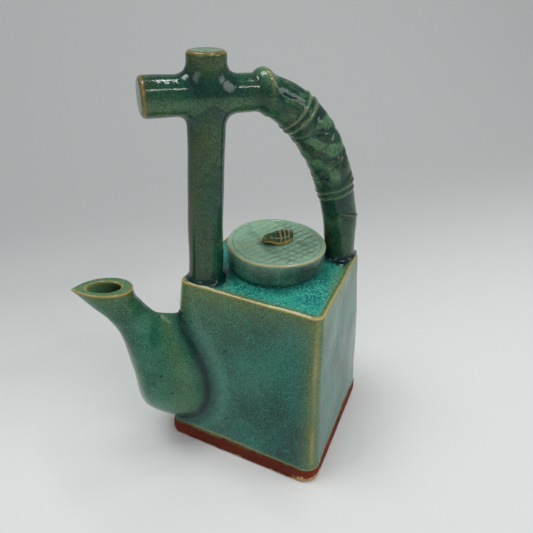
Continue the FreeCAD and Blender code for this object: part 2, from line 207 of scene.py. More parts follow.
def smooth_step(value):
    """0 below 0, 1 above 1, and an s-curve between."""
    value = np.clip(value, 0, 1)
    return value * value * (3 - 2 * value)


def bell(distance, width):
    """1 at distance 0, falling off as a bell of that width."""
    return np.exp(-(distance / width) ** 2)


def waves(points, wavelength, seed):
    """Smooth unevenness from about -1 to 1: the sum of seven sine waves in fixed directions."""
    draw = np.random.default_rng(seed)
    headings = draw.normal(size=(7, 3))
    headings /= np.linalg.norm(headings, axis=1, keepdims=True)
    headings *= (TAU / wavelength) * draw.uniform(0.65, 1.4, (7, 1))
    return np.sin(points @ headings.T + draw.uniform(0, TAU, 7)).sum(-1) * 0.3


def hand_built(points, sizes):
    """The points moved by slow waves, as pressed clay wanders; nothing moves at the table."""
    free = smooth_step(points[..., 2:3] / 12)
    amount = mm(sizes.unevenness)
    slow = np.stack([waves(points, 75, 11), waves(points, 75, 12), waves(points, 75, 13)], -1)
    quick = np.stack([waves(points, 24, 21), waves(points, 24, 22), waves(points, 24, 23)], -1)
    return points + free * amount * (slow + 0.35 * quick)


FAR_CORNER_PULL = np.array([-3.4, -3.0, 0.0])       # how far the far corner stands in


def out_of_square(points):
    """The far corner of the hand-cut square drawn in.

    The pull grows as the square of a share, which is 1 at that corner and 0 on the two
    sides that do not meet there.
    """
    half = side_at(points[..., 2]) / 2
    across = (points[..., 0] - points[..., 1]) / math.sqrt(2)
    along = (points[..., 0] + points[..., 1]) / math.sqrt(2)
    share = np.clip((across / half + 1) / 2, 0, 1) * np.clip((along / half + 1) / 2, 0, 1)
    return points + (share ** 2)[..., None] * FAR_CORNER_PULL


def soft_union(a, b, size):
    """The smaller of two distances, rounded over size where they are alike."""
    share = np.clip(0.5 + 0.5 * (b - a) / size, 0, 1)
    return b + (a - b) * share - size * share * (1 - share)


def own_skin(a, b, size, tuck=0.16):
    """The soft union as seen from a's piece, which tucks under where b is nearer."""
    return soft_union(a, b, size) + tuck * smooth_step((a - b) / 1.5 + 0.5)


HALVINGS = 26                   # enough to settle a ray to a millionth of a millimetre


def cast(centres, headings, distance, low, high):
    """Where rays from the centres meet the skin, found by halving between the two radii."""
    low = np.full(headings.shape[:-1], float(low))
    high = np.zeros_like(low) + high
    for _ in range(HALVINGS):
        middle = (low + high) / 2
        outside = distance(centres + headings * middle[..., None], middle) > 0
        high = np.where(outside, middle, high)
        low = np.where(outside, low, middle)
    return centres + headings * high[..., None]


def quads_of(rows, columns, looped):
    """Four-sided faces of a grid whose columns run round; looped rows run round as well."""
    row = np.arange(rows if looped else rows - 1)[:, None]
    column = np.arange(columns)[None, :]
    after = (column + 1) % columns
    below = (row + 1) % rows
    return np.stack([row * columns + column, row * columns + after,
                     below * columns + after, below * columns + column], -1).reshape(-1, 4)


def fan_of(row, columns, pole):
    """Triangles from one row of a grid to its pole."""
    start = row * columns + np.arange(columns)
    after = row * columns + (np.arange(columns) + 1) % columns
    return np.stack([np.full(columns, pole), start, after], -1)


def signed_volume(points, faces):
    """Six times the volume that the faces enclose, negative where they point inwards."""
    first = points[faces[:, 0]]
    total = 0.0
    for i in range(1, faces.shape[1] - 1):
        total += np.einsum("ij,ij->i", first,
                           np.cross(points[faces[:, i]], points[faces[:, i + 1]])).sum()
    return total


def make_mesh(name, points, faces, masks):
    """A smooth mesh of the points (in millimetres) and the masks as point attributes."""
    mesh = bpy.data.meshes.new(name)
    mesh.from_pydata((points * MM).tolist(), [],
                     [list(face) for block in faces for face in block.tolist()])
    mesh.polygons.foreach_set("use_smooth", np.ones(len(mesh.polygons), bool))
    for mask, values in masks.items():
        layer = mesh.attributes.new(mask, "FLOAT", "POINT")
        layer.data.foreach_set("value", np.clip(values, 0, 1).astype(np.float32).ravel())
    mesh.validate()
    mesh.update()
    obj = bpy.data.objects.new(name, mesh)
    bpy.context.scene.collection.objects.link(obj)
    return obj


def closed_piece(name, grid, masks, poles=None):
    """A closed skin from a grid of rows and columns.

    The columns always run round. The rows run round too, unless poles gives the two
    points on which the first and the last row close. Faces are turned to point outwards.
    """
    rows, columns = grid.shape[:2]
    points = grid.reshape(-1, 3)
    values = {key: np.broadcast_to(mask, (rows, columns)).ravel() for key, mask in masks.items()}
    blocks = [quads_of(rows, columns, poles is None)]
    if poles is not None:
        count = len(points)
        points = np.concatenate([points, np.array(poles, float)])
        blocks.append(fan_of(0, columns, count)[:, ::-1])
        blocks.append(fan_of(rows - 1, columns, count + 1))
        for key, mask in values.items():
            ends = [mask[:columns].mean(), mask[-columns:].mean()]
            values[key] = np.concatenate([mask, ends])
    if sum(signed_volume(points, block) for block in blocks) < 0:
        blocks = [block[:, ::-1] for block in blocks]
    return make_mesh(name, points, blocks, values)


def settle(obj, material, body, slot, *nodes):
    """Gives a finished piece its glaze and its body, and hides the CAD nodes it stands for; the slot
    is not used.
    """
    obj.data.materials.append(material)
    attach(obj, body)
    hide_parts(*nodes)
    return obj


def lathe(profile, centre_x, columns):
    """A profile of (radius, height) pairs turned about an upright axis."""
    turn = np.linspace(0, TAU, columns, endpoint=False)
    radius, height = profile[:, :1], profile[:, 1:]
    return np.stack([centre_x + radius * np.cos(turn), radius * np.sin(turn),
                     np.broadcast_to(height, (len(profile), columns))], -1)


def through(stops, step):
    """Points along straight runs between stops, about step apart."""
    stops = np.array(stops, float)
    runs = []
    for start, end in zip(stops[:-1], stops[1:]):
        count = max(int(np.linalg.norm((end - start)[:2]) / step), 1)
        runs.append(start + (end - start) * np.linspace(0, 1, count, endpoint=False)[:, None])
    return np.concatenate(runs + [stops[-1:]])


def round_corner(before, corner, after, radius, count=7):
    """Points of the arc that rounds a corner of a profile, between the two straight runs."""
    before, corner, after = (np.array(p, float) for p in (before, corner, after))
    back = (before - corner) / np.linalg.norm(before - corner)
    on = (after - corner) / np.linalg.norm(after - corner)
    half = math.acos(np.clip(back @ on, -1, 1)) / 2
    reach = radius / math.tan(half)
    centre = corner + (back + on) / np.linalg.norm(back + on) * (radius / math.sin(half))
    start, end = corner + back * reach - centre, corner + on * reach - centre
    share = np.linspace(0, 1, count)[:, None]
    sweep = math.pi - 2 * half
    return centre + (np.sin((1 - share) * sweep) * start
                     + np.sin(share * sweep) * end) / math.sin(sweep)


# ---- body -------------------------------------------------------------------------------

def side_at(z):
    """Plan side of the body at a height: it narrows evenly."""
    return BASE_SIDE - TAPER * z


def corner_at(z):
    """Radius of the body's upright corners at a height."""
    return BASE_CORNER + (TOP_CORNER - BASE_CORNER) * z / TOP_FACE


CORNER_POINTS, FACE_POINTS = 13, 88


def square_outline(inset, z):
    """Rounded squares, one a row: quarter arcs of the corner radius joined by straight sides.

    Returns the points and, for each, how far it lies from the middle of its corner.
    """
    inset, z = np.broadcast_arrays(np.asarray(inset, float), np.asarray(z, float))
    half = (side_at(z) / 2 - inset)[:, None]
    radius = np.maximum(corner_at(z) - inset, 0.8)[:, None]
    turn = np.linspace(0, math.pi / 2, CORNER_POINTS)[None, :]
    run = np.linspace(0, 1, FACE_POINTS + 1, endpoint=False)[None, 1:]
    core = half - radius
    x = np.concatenate([core + radius * np.cos(turn), core - 2 * core * run], 1)
    y = np.concatenate([core + radius * np.sin(turn), half + 0 * run], 1)
    near = np.concatenate([radius * np.abs(turn - math.pi / 4),
                           radius * math.pi / 4 + 2 * core * np.minimum(run, 1 - run)], 1)
    quarters = []
    for k in range(4):
        angle = k * math.pi / 2 - TO_AXES
        quarters.append(np.stack([x * math.cos(angle) - y * math.sin(angle),
                                  x * math.sin(angle) + y * math.cos(angle),
                                  np.broadcast_to(z[:, None], x.shape)], -1))
    return np.concatenate(quarters, 1), np.concatenate([near] * 4, 1)


def wall_distance(points):
    """How far points lie outside the walls: the distance from a rounded square at their height."""
    c, s = math.cos(TO_AXES), math.sin(TO_AXES)
    x, y, z = points[..., 0], points[..., 1], points[..., 2]
    radius = corner_at(z)
    core = side_at(z) / 2 - radius
    u = np.abs(x * c - y * s) - core
    v = np.abs(x * s + y * c) - core
    return np.hypot(np.maximum(u, 0), np.maximum(v, 0)) + np.minimum(np.maximum(u, v), 0) - radius


def top_distance(points):
    """How far points lie outside the top slab: above its face, or beyond its border."""
    return np.maximum(points[..., 2] - TOP_FACE + 0.1, wall_distance(points) + 1.8)


def nearest(points, curve):
    """Distance of every point to the nearest point of a curve."""
    flat = points.reshape(-1, 3)
    best = np.full(len(flat), 1e9)
    for start in range(0, len(flat), 20000):
        block = flat[start:start + 20000]
        gaps = (block ** 2).sum(1)[:, None] + (curve ** 2).sum(1)[None, :] - 2 * block @ curve.T
        best[start:start + 20000] = np.sqrt(np.maximum(gaps.min(1), 0))
    return best.reshape(points.shape[:-1])


WALL = 5.5                                  # thickness of the walls
SMUDGE = np.array([-34.2, -20.1, 66.4])     # a dark fleck under the glaze of the spout-side wall
GLAZE_LINE_WANDER = 0.45                    # how far the glaze line wanders all round
GLAZE_LINE_SAG = 2.4                        # how far it drops below the arch's corner


def rolled_edge(roll, height):
    """Edge of a slab smoothed with a wet finger, as (inset, height) points.

    The slope falls from upright to a narrow bevel of about 30 degrees, stays there, then
    falls to level; the points are its running sum, a step at a time.
    """
    # Each part: first and last slope in degrees, its steps and the length of one step.
    parts = ((90, 34, 8, 0.108), (34, 26, 4, 0.24), (26, 0, 5, 0.08))
    slope = np.concatenate([[90], *(np.linspace(first, last, count + 1)[1:]
                                    for first, last, count, _ in parts)])
    slope = np.radians(slope)
    step = np.concatenate([np.full(count, one) for _, _, count, one in parts]) * roll / 1.55
    middle = (slope[:-1] + slope[1:]) / 2
    moves = step[:, None] * np.stack([np.cos(middle), np.sin(middle)], -1)
    points = np.concatenate([[[0, 0]], np.cumsum(moves, 0)])
    return points + [0, height - points[-1, 1]]


def make_walls(sizes, glaze):
    """Walls: a closed loop of (inset, height) carried round the rounded square.

    It climbs from a glaze bead above the foot to a rolled edge, turns in over the top
    slab's border and comes down inside to the floor.
    """
    roll, line = mm(sizes.rim_roll), mm(sizes.glaze_line)
    height = TOP_FACE + 0.15
    bead = [(0.9, line - 0.3), (0.25, line - 0.15), (-0.12, line + 0.25), (-0.2, line + 0.8),
            (-0.1, line + 1.6), (0.0, line + 2.8)]
    rolled = rolled_edge(roll, height)
    climb = through([(0.0, line + 2.8), (0.0, rolled[0, 1])], 0.95)[1:-1]
    inside = through([(roll + 0.5, height - 0.05), (roll + 1.3, height - 0.5),
                      (WALL - 0.1, height - 3), (WALL, BASE_TOP - 0.3), (2.0, BASE_TOP - 0.4)], 3.0)
    profile = np.concatenate([bead, climb, rolled, inside])
    grid, near = square_outline(profile[:, 0], profile[:, 1])
    low = smooth_step(1 - (grid[..., 2] - line) / 5)
    inset, z = profile[:, :1], profile[:, 1:]
    low = low * (inset < 1)
    grid[..., 2] += low * GLAZE_LINE_WANDER * waves(grid * [1, 1, 0], 38, 5)
    grid[..., 2] -= low * GLAZE_LINE_SAG * bell(np.hypot(grid[..., 0] - 56, grid[..., 1]), 34)
    drop = np.maximum(height - z, 0)
    outer = inset < roll + 1.4
    rim = np.hypot(drop - 0.35 * roll, np.maximum(inset - 0.35 * roll, 0))
    corner = bell(near, 3.4 + 0.02 * drop)
    wander = 0.85 + 0.2 * waves(grid, 19, 7)
    x = grid[..., 0]
    edge = outer * np.maximum(0.85 * bell(rim, 0.65),
                              0.66 * bell(near, 1.8) * wander * smooth_step((z - line) / 6))
    edge = np.maximum(edge, 0.6 * bell(z - line - 0.9, 0.7))
    thin = np.exp(-drop / 6.0) + 0.95 * corner + 0.25 * bell(near, 8)
    thin = thin + 0.5 * np.exp(-drop / 26) * bell(x + 40, 22)
    thin = np.maximum(thin, 0.7 * bell(z - line - 1.2, 1.1))
    seam = nearest(grid, SEAM_POINTS)
    pool = np.maximum(bell(np.maximum(seam - 0.6, 0), 2.6),
                      0.62 * bell(seam, 6.0)) * seam_strength(grid[..., 2])
    smudge = np.linalg.norm(grid - SMUDGE, axis=-1)
    pool = np.maximum(pool, 0.5 * bell(smudge, 2.0))
    thin = thin * (1 - pool)
    # Low on the front faces beside the near corner, the walls are darkened with the pool colour and
    # made less milky.
    low_right = bell(x + 8, 14) * bell(z - 30, 28) * (grid[..., 1] < 0)
    pale = outer * np.maximum(0.6 * bell(seam - 9, 4.5),
                              0.3 * smooth_step(waves(grid, 42, 8)) * (1 - low_right))
    pool = np.maximum(pool, 0.22 * low_right * outer)
    masks = {"edge": edge * (1 - pool), "thin": thin, "pool": pool, "pale": pale}
    piece = closed_piece("body_walls", hand_built(out_of_square(grid), sizes), masks)
    return settle(piece, glaze, "vessel", "wall_glaze", "wall_spout_left", "wall_back_left",
                  "wall_back_right", "wall_spout_right", "wall_seam_coils")


def make_top(sizes, glaze):
    """Top slab: a closed loop that blends from the body's outline to the round mouth.

    Rows run from under the rolled edge over the top face, up the collar, down inside
    the mouth and back out below; a row's share says how round it is.
    """
    roll = mm(sizes.rim_roll)
    z = TOP_FACE
    edge_in = roll + 0.1
    border = [(edge_in, z - 3.0, 0), (edge_in + 0.1, z - 0.5, 0), (edge_in + 0.5, z - 0.1, 0)]
    face = [(edge_in + 0.5, z + 0.02, share) for share in np.linspace(0.02, 1.0, 34)]
    ledge, floor = COLLAR[1][2], COLLAR[0][2]
    radii = [(COLLAR_RADIUS + 0.9, z + 0.05), (COLLAR_RADIUS + 0.35, z + 0.25),
             (COLLAR_RADIUS, z + 0.6), (COLLAR_RADIUS - 0.4, ledge - 0.1),
             (COLLAR_RADIUS - 1.0, ledge), (MOUTH_RADIUS + 1.0, ledge),
             (MOUTH_RADIUS + 0.35, ledge - 0.12), (MOUTH_RADIUS, ledge - 0.6),
             (MOUTH_RADIUS, ledge - 4), (MOUTH_RADIUS, floor + 0.6), (MOUTH_RADIUS + 0.6, floor),
             (COLLAR_RADIUS - 0.6, floor), (COLLAR_RADIUS, floor + 0.6), (COLLAR_RADIUS, TOP[0][2])]
    inset, height, roundness = np.array(border + face).T
    outline, _ = square_outline(inset, np.minimum(height, z))
    angle = np.arctan2(outline[..., 1], outline[..., 0])
    ring = np.stack([np.cos(angle), np.sin(angle)], -1) * (COLLAR_RADIUS + 1.8)
    outline[..., :2] += (ring - outline[..., :2]) * roundness[:, None, None]
    outline[..., 2] = height[:, None]
    radii = np.array(radii)
    lip = np.stack([radii[:, :1] * np.cos(angle[-1]), radii[:, :1] * np.sin(angle[-1]),
                    np.broadcast_to(radii[:, 1:], (len(radii), angle.shape[1]))], -1)
    under, _ = square_outline([9.0, 5.0], [TOP[0][2], TOP[0][2]])
    grid = np.concatenate([outline, lip, under])
    x, y = grid[..., 0], grid[..., 1]
    outer = -wall_distance(np.stack([x, y, 0 * x + z], -1))
    post = np.hypot(x - POST_FOOT_X, y) - POST_RADIUS
    arch = np.hypot(x - ARCH_FOOT_X, y) - ARCH_FOOT_RADIUS
    lid = np.hypot(x - LID_X, y) - LID_RADIUS
    wander = 0.12 * waves(grid, 16, 31) - 0.1 * bell(outer - 8, 5)
    grid[..., 2] += (grid[..., 2] > z - 0.2) * wander
    pool = np.maximum(bell(np.maximum(post - 0.5, 0), 3.6), bell(np.maximum(arch - 0.5, 0), 3.2))
    # A broken dark ring on the top face round the lid's foot: painted shadow of the lid, which
    # stands clear of the slab.
    pool = np.maximum(pool, 0.45 * bell(lid - 1, 3.0) * smooth_step(0.4 + waves(grid, 21, 32)))
    right = smooth_step((x - 4) / 20)
    thin = (0.4 + 0.5 * right) * bell(np.maximum(outer - 1.5, 0), 2.4 + 1.8 * right)
    edge = bell(np.maximum(outer - 1.7, 0), 0.7) * (0.3 + 0.35 * right)
    masks = {"edge": edge * (1 - pool), "thin": thin * (1 - pool), "pool": pool}
    piece = closed_piece("top_slab_glazed", hand_built(out_of_square(grid), sizes), masks)
    return settle(piece, glaze, "vessel", "top_glaze", "top_slab", "mouth_collar",
                  "post_foot_coil", "arch_foot_coil")


def make_base(sizes, clay):
    """Foot: a closed skin of rounded squares, from a pole underneath to one on its upper face."""
    line = mm(sizes.glaze_line)
    stops = [(36.0, 0.35), (30.0, 0.3), (12.0, 0.2), (4.0, 0.0)]
    turn = np.linspace(0, math.pi / 2, 9)
    heel = np.stack([1.8 - 1.8 * np.sin(turn), 1.8 - 1.8 * np.cos(turn)], -1)
    rise = through([(0.0, 1.9), (-0.15, line - 1.5), (0.45, line + 0.4)], 0.9)
    over = [(1.4, BASE_TOP - 0.7), (3.0, BASE_TOP - 0.1), (5.6, BASE_TOP), (20.0, BASE_TOP),
            (36.0, BASE_TOP)]
    profile = np.concatenate([stops, heel, rise, over])
    grid, near = square_outline(profile[:, 0], profile[:, 1])
    rough = (profile[:, 0] < 3.5)[:, None] * smooth_step(grid[..., 2] / 3)
    middle = grid * [0, 0, 1]
    away = (grid - middle) / np.maximum(np.linalg.norm(grid - middle, axis=-1, keepdims=True), 1e-6)
    grid = grid + away * (rough
                          * (0.16 * waves(grid, 7, 41) + 0.1 * waves(grid, 3.1, 42)))[..., None]
    front = 0.35 + 0.65 * (grid[..., 1] < -40)
    chips = front * bell(near, 13) * bell(profile[:, 1:] - 0.8, 3.4) * (profile[:, :1] < 3.5)
    grid = grid + away * (-0.35 * chips * smooth_step(0.5 + waves(grid, 4.5, 43)))[..., None]
    masks = {"edge": np.maximum(chips, 0.35 * bell(profile[:, 1:] - 0.9, 1.2)),
             "thin": 0.6 * bell(profile[:, 1:] - line, 1.3)}
    poles = [(0, 0, 0.4), (0, 0, BASE_TOP)]
    piece = closed_piece("foot_slab", out_of_square(grid), masks, poles)
    return settle(piece, clay, "vessel", "bare_clay", "base_slab", "floor_seam_coil")


# ---- spout ------------------------------------------------------------------------------

ROOT_Z, FOOT_Z = 80.0, 10.5     # where the spout's upper and lower edge leave the corner
ROOT_X, FOOT_X = (-(side_at(z) / math.sqrt(2) - corner_at(z) * CORNER_CUT) for z in (ROOT_Z, FOOT_Z))
RISE = LIP_Z - FOOT_Z
# Each row: upper x and z, lower x and z, half width, waist, roundness above and below.
SPOUT_SECTIONS = np.array([
    (ROOT_X + 16, ROOT_Z, FOOT_X + 18, 9, 15.5, 0.36, 0.0, 0.5),
    (ROOT_X + 2, ROOT_Z, FOOT_X + 4, 9.5, 15.5, 0.36, 0.0, 0.5),
    (ROOT_X - 10, 82.3, FOOT_X - 15, FOOT_Z + 0.17 * RISE, 14.8, 0.38, 0.5, 0.8),
    (ROOT_X - 14.7, 86.3, LIP_X + 21.9, FOOT_Z + 0.44 * RISE, 12.6, 0.42, 0.9, 1.0),
    (ROOT_X - 17.7, 90.8, LIP_X + 18.8, FOOT_Z + 0.675 * RISE, 9.7, 0.46, 1.0, 1.0),
    (LIP_X + 28.1, LIP_Z - 9.5, LIP_X + 13.9, FOOT_Z + 0.8 * RISE, 8.4, 0.50, 1.0, 1.0),
    (LIP_X + 27.2, LIP_Z - 5, LIP_X + 6.9, FOOT_Z + 0.89 * RISE, 8.2, 0.55, 1.0, 0.7),
    (LIP_X + 27.6, LIP_Z - 1, LIP_X - 1.5, LIP_Z + 2.5, 8.3, 0.60, 1.0, 0.4)])
OVAL, POINT = 0.5523, 0.2       # reach of the poles for a quarter of an oval, and at a point
LIP_ROLL = 0.7                  # how far the rim's edges drop below the lip's plane
SPOUT_COLUMNS = 168


def section_values(along):
    """The section table read at any place along the spout, on a smooth curve through its rows."""
    table = np.concatenate([2 * SPOUT_SECTIONS[:1] - SPOUT_SECTIONS[1:2], SPOUT_SECTIONS,
                            2 * SPOUT_SECTIONS[-1:] - SPOUT_SECTIONS[-2:-1]])
    place = np.clip(along, 0, 1) * (len(SPOUT_SECTIONS) - 1)
    first = np.minimum(place.astype(int), len(SPOUT_SECTIONS) - 2)
    t = (place - first)[..., None]
    a, b, c, d = (table[first + k] for k in range(4))
    return 0.5 * (2 * b + (c - a) * t + (2 * a - 5 * b + 4 * c - d) * t ** 2
                  + (3 * b - a - 3 * c + d) * t ** 3)


def cubic(a, b, c, d, t):
    """Point of a cubic curve with four poles."""
    u = 1 - t
    return a * u ** 3 + 3 * b * u * u * t + 3 * c * u * t * t + d * t ** 3


def spout_skin(along, round_share):
    """Point of the spout's outside.

    A section is two mirrored halves, each two curved quarters that meet at the widest
    place. The share runs from 0 at the top, through 0.5 at the bottom, back to the top.
    """
    values = section_values(along)
    ux, uz, lx, lz, half_width, waist, round_top, round_bottom = np.moveaxis(values, -1, 0)
    side = np.where(round_share < 0.5, 1.0, -1.0)
    down = 2 * np.minimum(round_share, 1 - round_share)
    zero = np.zeros_like(ux)
    top = np.stack([ux, zero, uz], -1)
    bottom = np.stack([lx, zero, lz], -1)
    out = np.stack([zero, side * half_width, zero], -1)
    middle = bottom + (top - bottom) * waist[..., None]
    round_top = np.clip(round_top, 0, 1)[..., None]
    round_bottom = np.clip(round_bottom, 0, 1)[..., None]
    after = top + out * (OVAL * round_top) + (middle - top) * (POINT * (1 - round_top))
    before = bottom + out * (OVAL * round_bottom) + (middle - bottom) * (POINT * (1 - round_bottom))
    upper = cubic(top, after, middle + (top - middle) * OVAL + out, middle + out,
                  np.clip(2 * down, 0, 1)[..., None])
    lower = cubic(middle + out, middle + (bottom - middle) * OVAL + out, before, bottom,
                  np.clip(2 * down - 1, 0, 1)[..., None])
    return np.where((down < 0.5)[..., None], upper, lower)


def above_lip(points):
    """How far points lie above the sloping plane of the lip."""
    return points[..., 2] - (LIP_Z - LIP_SLOPE * (points[..., 0] - LIP_X))


def crossing(values, steps):
    """Where each column of values last climbs through zero, between the steps."""
    below = values < 0
    last = np.clip(len(steps) - 2 - np.argmax(below[::-1][1:], 0), 0, len(steps) - 2)
    columns = np.arange(values.shape[1])
    a, b = values[last, columns], values[last + 1, columns]
    share = np.clip(-a / np.where(np.abs(b - a) < 1e-9, 1, b - a), 0, 1)
    return steps[last] + (steps[last + 1] - steps[last]) * share


def spout_shares():
    """Shares round the spout, spaced evenly."""
    return (np.arange(SPOUT_COLUMNS) + 0.5) / SPOUT_COLUMNS


def spout_limits():
    """For each column, where the spout leaves the walls and where it reaches the lip."""
    steps = np.linspace(0, 1, 500)
    along, share = np.meshgrid(steps, spout_shares(), indexing="ij")
    skin = spout_skin(along, share)
    start = crossing(wall_distance(skin), steps)
    first_above = np.argmax(above_lip(skin) > -LIP_ROLL, 0)
    end = steps[np.where(first_above == 0, len(steps) - 1, first_above)]
    return start, end


SPOUT_START, SPOUT_END = spout_limits()
SEAM_POINTS = spout_skin(SPOUT_START, spout_shares())


def seam_strength(z):
    """Glaze pools more in the lower part of the spout's seam, and thins out at its top."""
    return 0.88 + 0.12 * smooth_step((78 - z) / 40)


def make_spout(sizes, glaze):
    """Spout: rows run from the seam out to the lip, over the thick rim and down inside.

    Near the walls the skin is pushed out by R - sqrt(R^2 - (R - d)^2), where d is the
    distance to the wall, which smooths the joint. The rim lies between the outline at
    the lip and an oval hole, drops at both edges by the fifth power of its width and is
    dished a little in the middle. Below the hole each row shrinks towards the inside.
    """
    share = spout_shares()
    spread = np.concatenate([np.linspace(0, 0.1, 12, endpoint=False),
                             np.linspace(0.1, 1, 100)])[:, None]
    along = SPOUT_START - 0.012 + (SPOUT_END - SPOUT_START + 0.012) * spread
    share_grid = np.broadcast_to(share, along.shape)
    skin = spout_skin(along, share_grid)
    nudge, step = 0.002, 0.05       # shares along or round the spout, and millimetres
    down_length = spout_skin(along + nudge, share_grid) - skin
    round_length = spout_skin(along, share_grid + nudge) - skin
    normal = np.cross(down_length, round_length)
    normal /= np.maximum(np.linalg.norm(normal, axis=-1, keepdims=True), 1e-9)
    axis = skin.mean(1, keepdims=True)
    normal *= np.sign(((skin - axis) * normal).sum(-1, keepdims=True))
    gap = wall_distance(skin)
    lean = np.stack([wall_distance(skin + np.eye(3)[k] * step) - gap for k in range(3)], -1) / step
    reach = mm(sizes.seam_blend)
    near = np.clip(gap, 0, reach)
    push = reach - np.sqrt(np.maximum(reach ** 2 - (reach - near) ** 2, 0))
    slide = normal - (normal * lean).sum(-1, keepdims=True) * lean
    skin = skin + slide * (push * smooth_step((reach - gap) / reach + 0.35))[..., None]

    rim = skin[-1]
    hole_x, hole_long, hole_wide = LIP_X + 14.4, 7.3, 4.7
    rim_long, rim_wide = 14.0, 8.2
    angle = np.arctan2(rim[:, 1] / rim_wide, (rim[:, 0] - hole_x) / rim_long)
    hole = np.stack([hole_x + hole_long * np.cos(angle), hole_wide * np.sin(angle), 0 * angle], -1)
    hole[:, 2] = LIP_Z - LIP_SLOPE * (hole[:, 0] - LIP_X) - LIP_ROLL
    across = np.concatenate([np.linspace(0, 0.12, 6)[1:], np.linspace(0.12, 0.88, 12)[1:],
                             np.linspace(0.88, 1, 6)[1:]])
    top = rim + (hole - rim) * across[:, None, None]
    crown = LIP_ROLL * (1 - np.abs(1 - 2 * across) ** 5)
    dish = 0.35 * np.sin(math.pi * across)[:, None] ** 4
    top[..., 2] += crown[:, None] - dish
    depth = np.linspace(0, 1, 16)[1:, None]
    inner_along = SPOUT_END - 0.02 - 0.42 * depth
    inner = spout_skin(np.clip(inner_along, 0, 1), np.broadcast_to(share, inner_along.shape))
    centre = inner.mean(1, keepdims=True)
    inner = centre + (inner - centre) * (0.66 - 0.12 * depth[..., None])
    ease = smooth_step(depth * 2.2)[..., None]
    sunk = hole + np.array([4.0, 0, -9.0]) * depth[..., None]
    inner = sunk + (inner - sunk) * ease
    grid = np.concatenate([skin, top, inner])
    rows = len(skin)
    rim_rows, inside_rows = slice(rows, rows + len(top)), slice(rows + len(top), None)
    z = grid[..., 2]
    outer_gap = np.concatenate([gap, np.full((len(grid) - rows, gap.shape[1]), 50.0)])
    pool = seam_strength(z) * np.maximum(bell(np.maximum(outer_gap - 0.4, 0), 1.8),
                                         0.4 * bell(outer_gap, 4.0))
    # Inside the spout the pool colour grows with depth: painted shade in the hole.
    pool[inside_rows] = smooth_step(depth * 1.3)
    lip = np.abs(above_lip(grid) + 0.5)
    edge = np.zeros(grid.shape[:2])
    edge[:rows] = 0.8 * bell(lip[:rows], 0.7)
    edge[rim_rows] = np.maximum(0.9 * bell(across - 0.03, 0.12),
                                0.6 * bell(across - 0.9, 0.16))[:, None]
    edge[inside_rows] = 0.5 * bell(depth, 0.12)
    thin = 0.35 * bell(outer_gap - 7.5, 4.5) + 0.8 * np.exp(-np.maximum(-above_lip(grid), 0) / 5.5)
    thin = thin + 0.35 * smooth_step(waves(grid, 26, 51)) * smooth_step((z - 35) / 30)
    thin[rows:] = 0.62              # the rim and the inside are evenly thin
    pale = 0.3 * bell(z - 22, 16) * smooth_step((outer_gap - 4) / 12)
    pale = pale + 0.35 * smooth_step(waves(grid, 20, 52))
    pale[rim_rows] = 0.35
    masks = {"edge": edge * (1 - pool), "thin": thin * (1 - pool), "pool": pool, "pale": pale}
    poles = [spout_skin(np.array([0.02]), np.array([0.25]))[0] * [1, 0, 1], grid[-1].mean(0)]
    piece = closed_piece("horn_spout", hand_built(grid, sizes), masks, poles)
    return settle(piece, glaze, "vessel", "wall_glaze", "spout", "spout_seam_coil")


# ---- handle -----------------------------------------------------------------------------

POST_COLUMNS, BAR_COLUMNS, ARCH_COLUMNS = 112, 120, 144
CORE = 3.0                      # rays start this far from a rod's centre line
# Places on the bamboo, as shares of the way from the crossbar to the foot.
KNUCKLE, BARK_START, BARK_END, UPPER_RINGS, GULLY = 0.085, 0.1, 0.255, (0.262, 0.3), 0.281
LEAF_START, LEAF_END, LOWER_RINGS, BULGE, SHEATH = 0.31, 0.63, (0.65, 0.678), 0.80, 0.835


def upright_x(z):
    """Centre of the leaning post at a height, straight on to the finial."""
    share = np.clip((z - TOP_FACE) / (BAR_AXIS - TOP_FACE), 0, 1)
    return POST_FOOT_X + (FINIAL_X - POST_FOOT_X) * share


def upright_distance(points):
    """Distance from the skin of the post, or of the finial above the crossbar."""
    z = points[..., 2]
    above = smooth_step((z - BAR_AXIS) / 6)
    radius = POST_RADIUS - 0.15 + (FINIAL_RADIUS + 0.1 - POST_RADIUS) * above
    radius = radius + 0.16 * waves(points, 27, 61)
    return np.hypot(points[..., 0] - upright_x(z), points[..., 1]) - radius


def bar_distance(points):
    """Distance from the skin of the crossbar, which thins a little to the right."""
    radius = BAR_RADIUS - 0.1 - 0.5 * smooth_step((points[..., 0] - FINIAL_X) / 22)
    radius = radius + 0.14 * waves(points, 23, 62)
    return np.hypot(points[..., 1], points[..., 2] - BAR_AXIS) - radius


def joint_pool(a, b, width):
    """Glaze gathers where two skins are both near."""
    return bell(np.maximum(a, 0) + np.maximum(b, 0), width)


def ring_headings(columns, first, second):
    """Directions all round, in the plane of two unit vectors."""
    turn = np.linspace(0, TAU, columns, endpoint=False)
    first, second = np.array(first, float), np.array(second, float)
    return np.cos(turn)[:, None] * first + np.sin(turn)[:, None] * second


def level_rays(z):
    """Centres on the leaning upright at the heights, and level directions all round each."""
    centres = np.stack([upright_x(z), 0 * z, z], -1)[:, None, :]
    round_it = ring_headings(POST_COLUMNS, (1, 0, 0), (0, 1, 0))
    return centres, np.broadcast_to(round_it, (len(z), *round_it.shape))


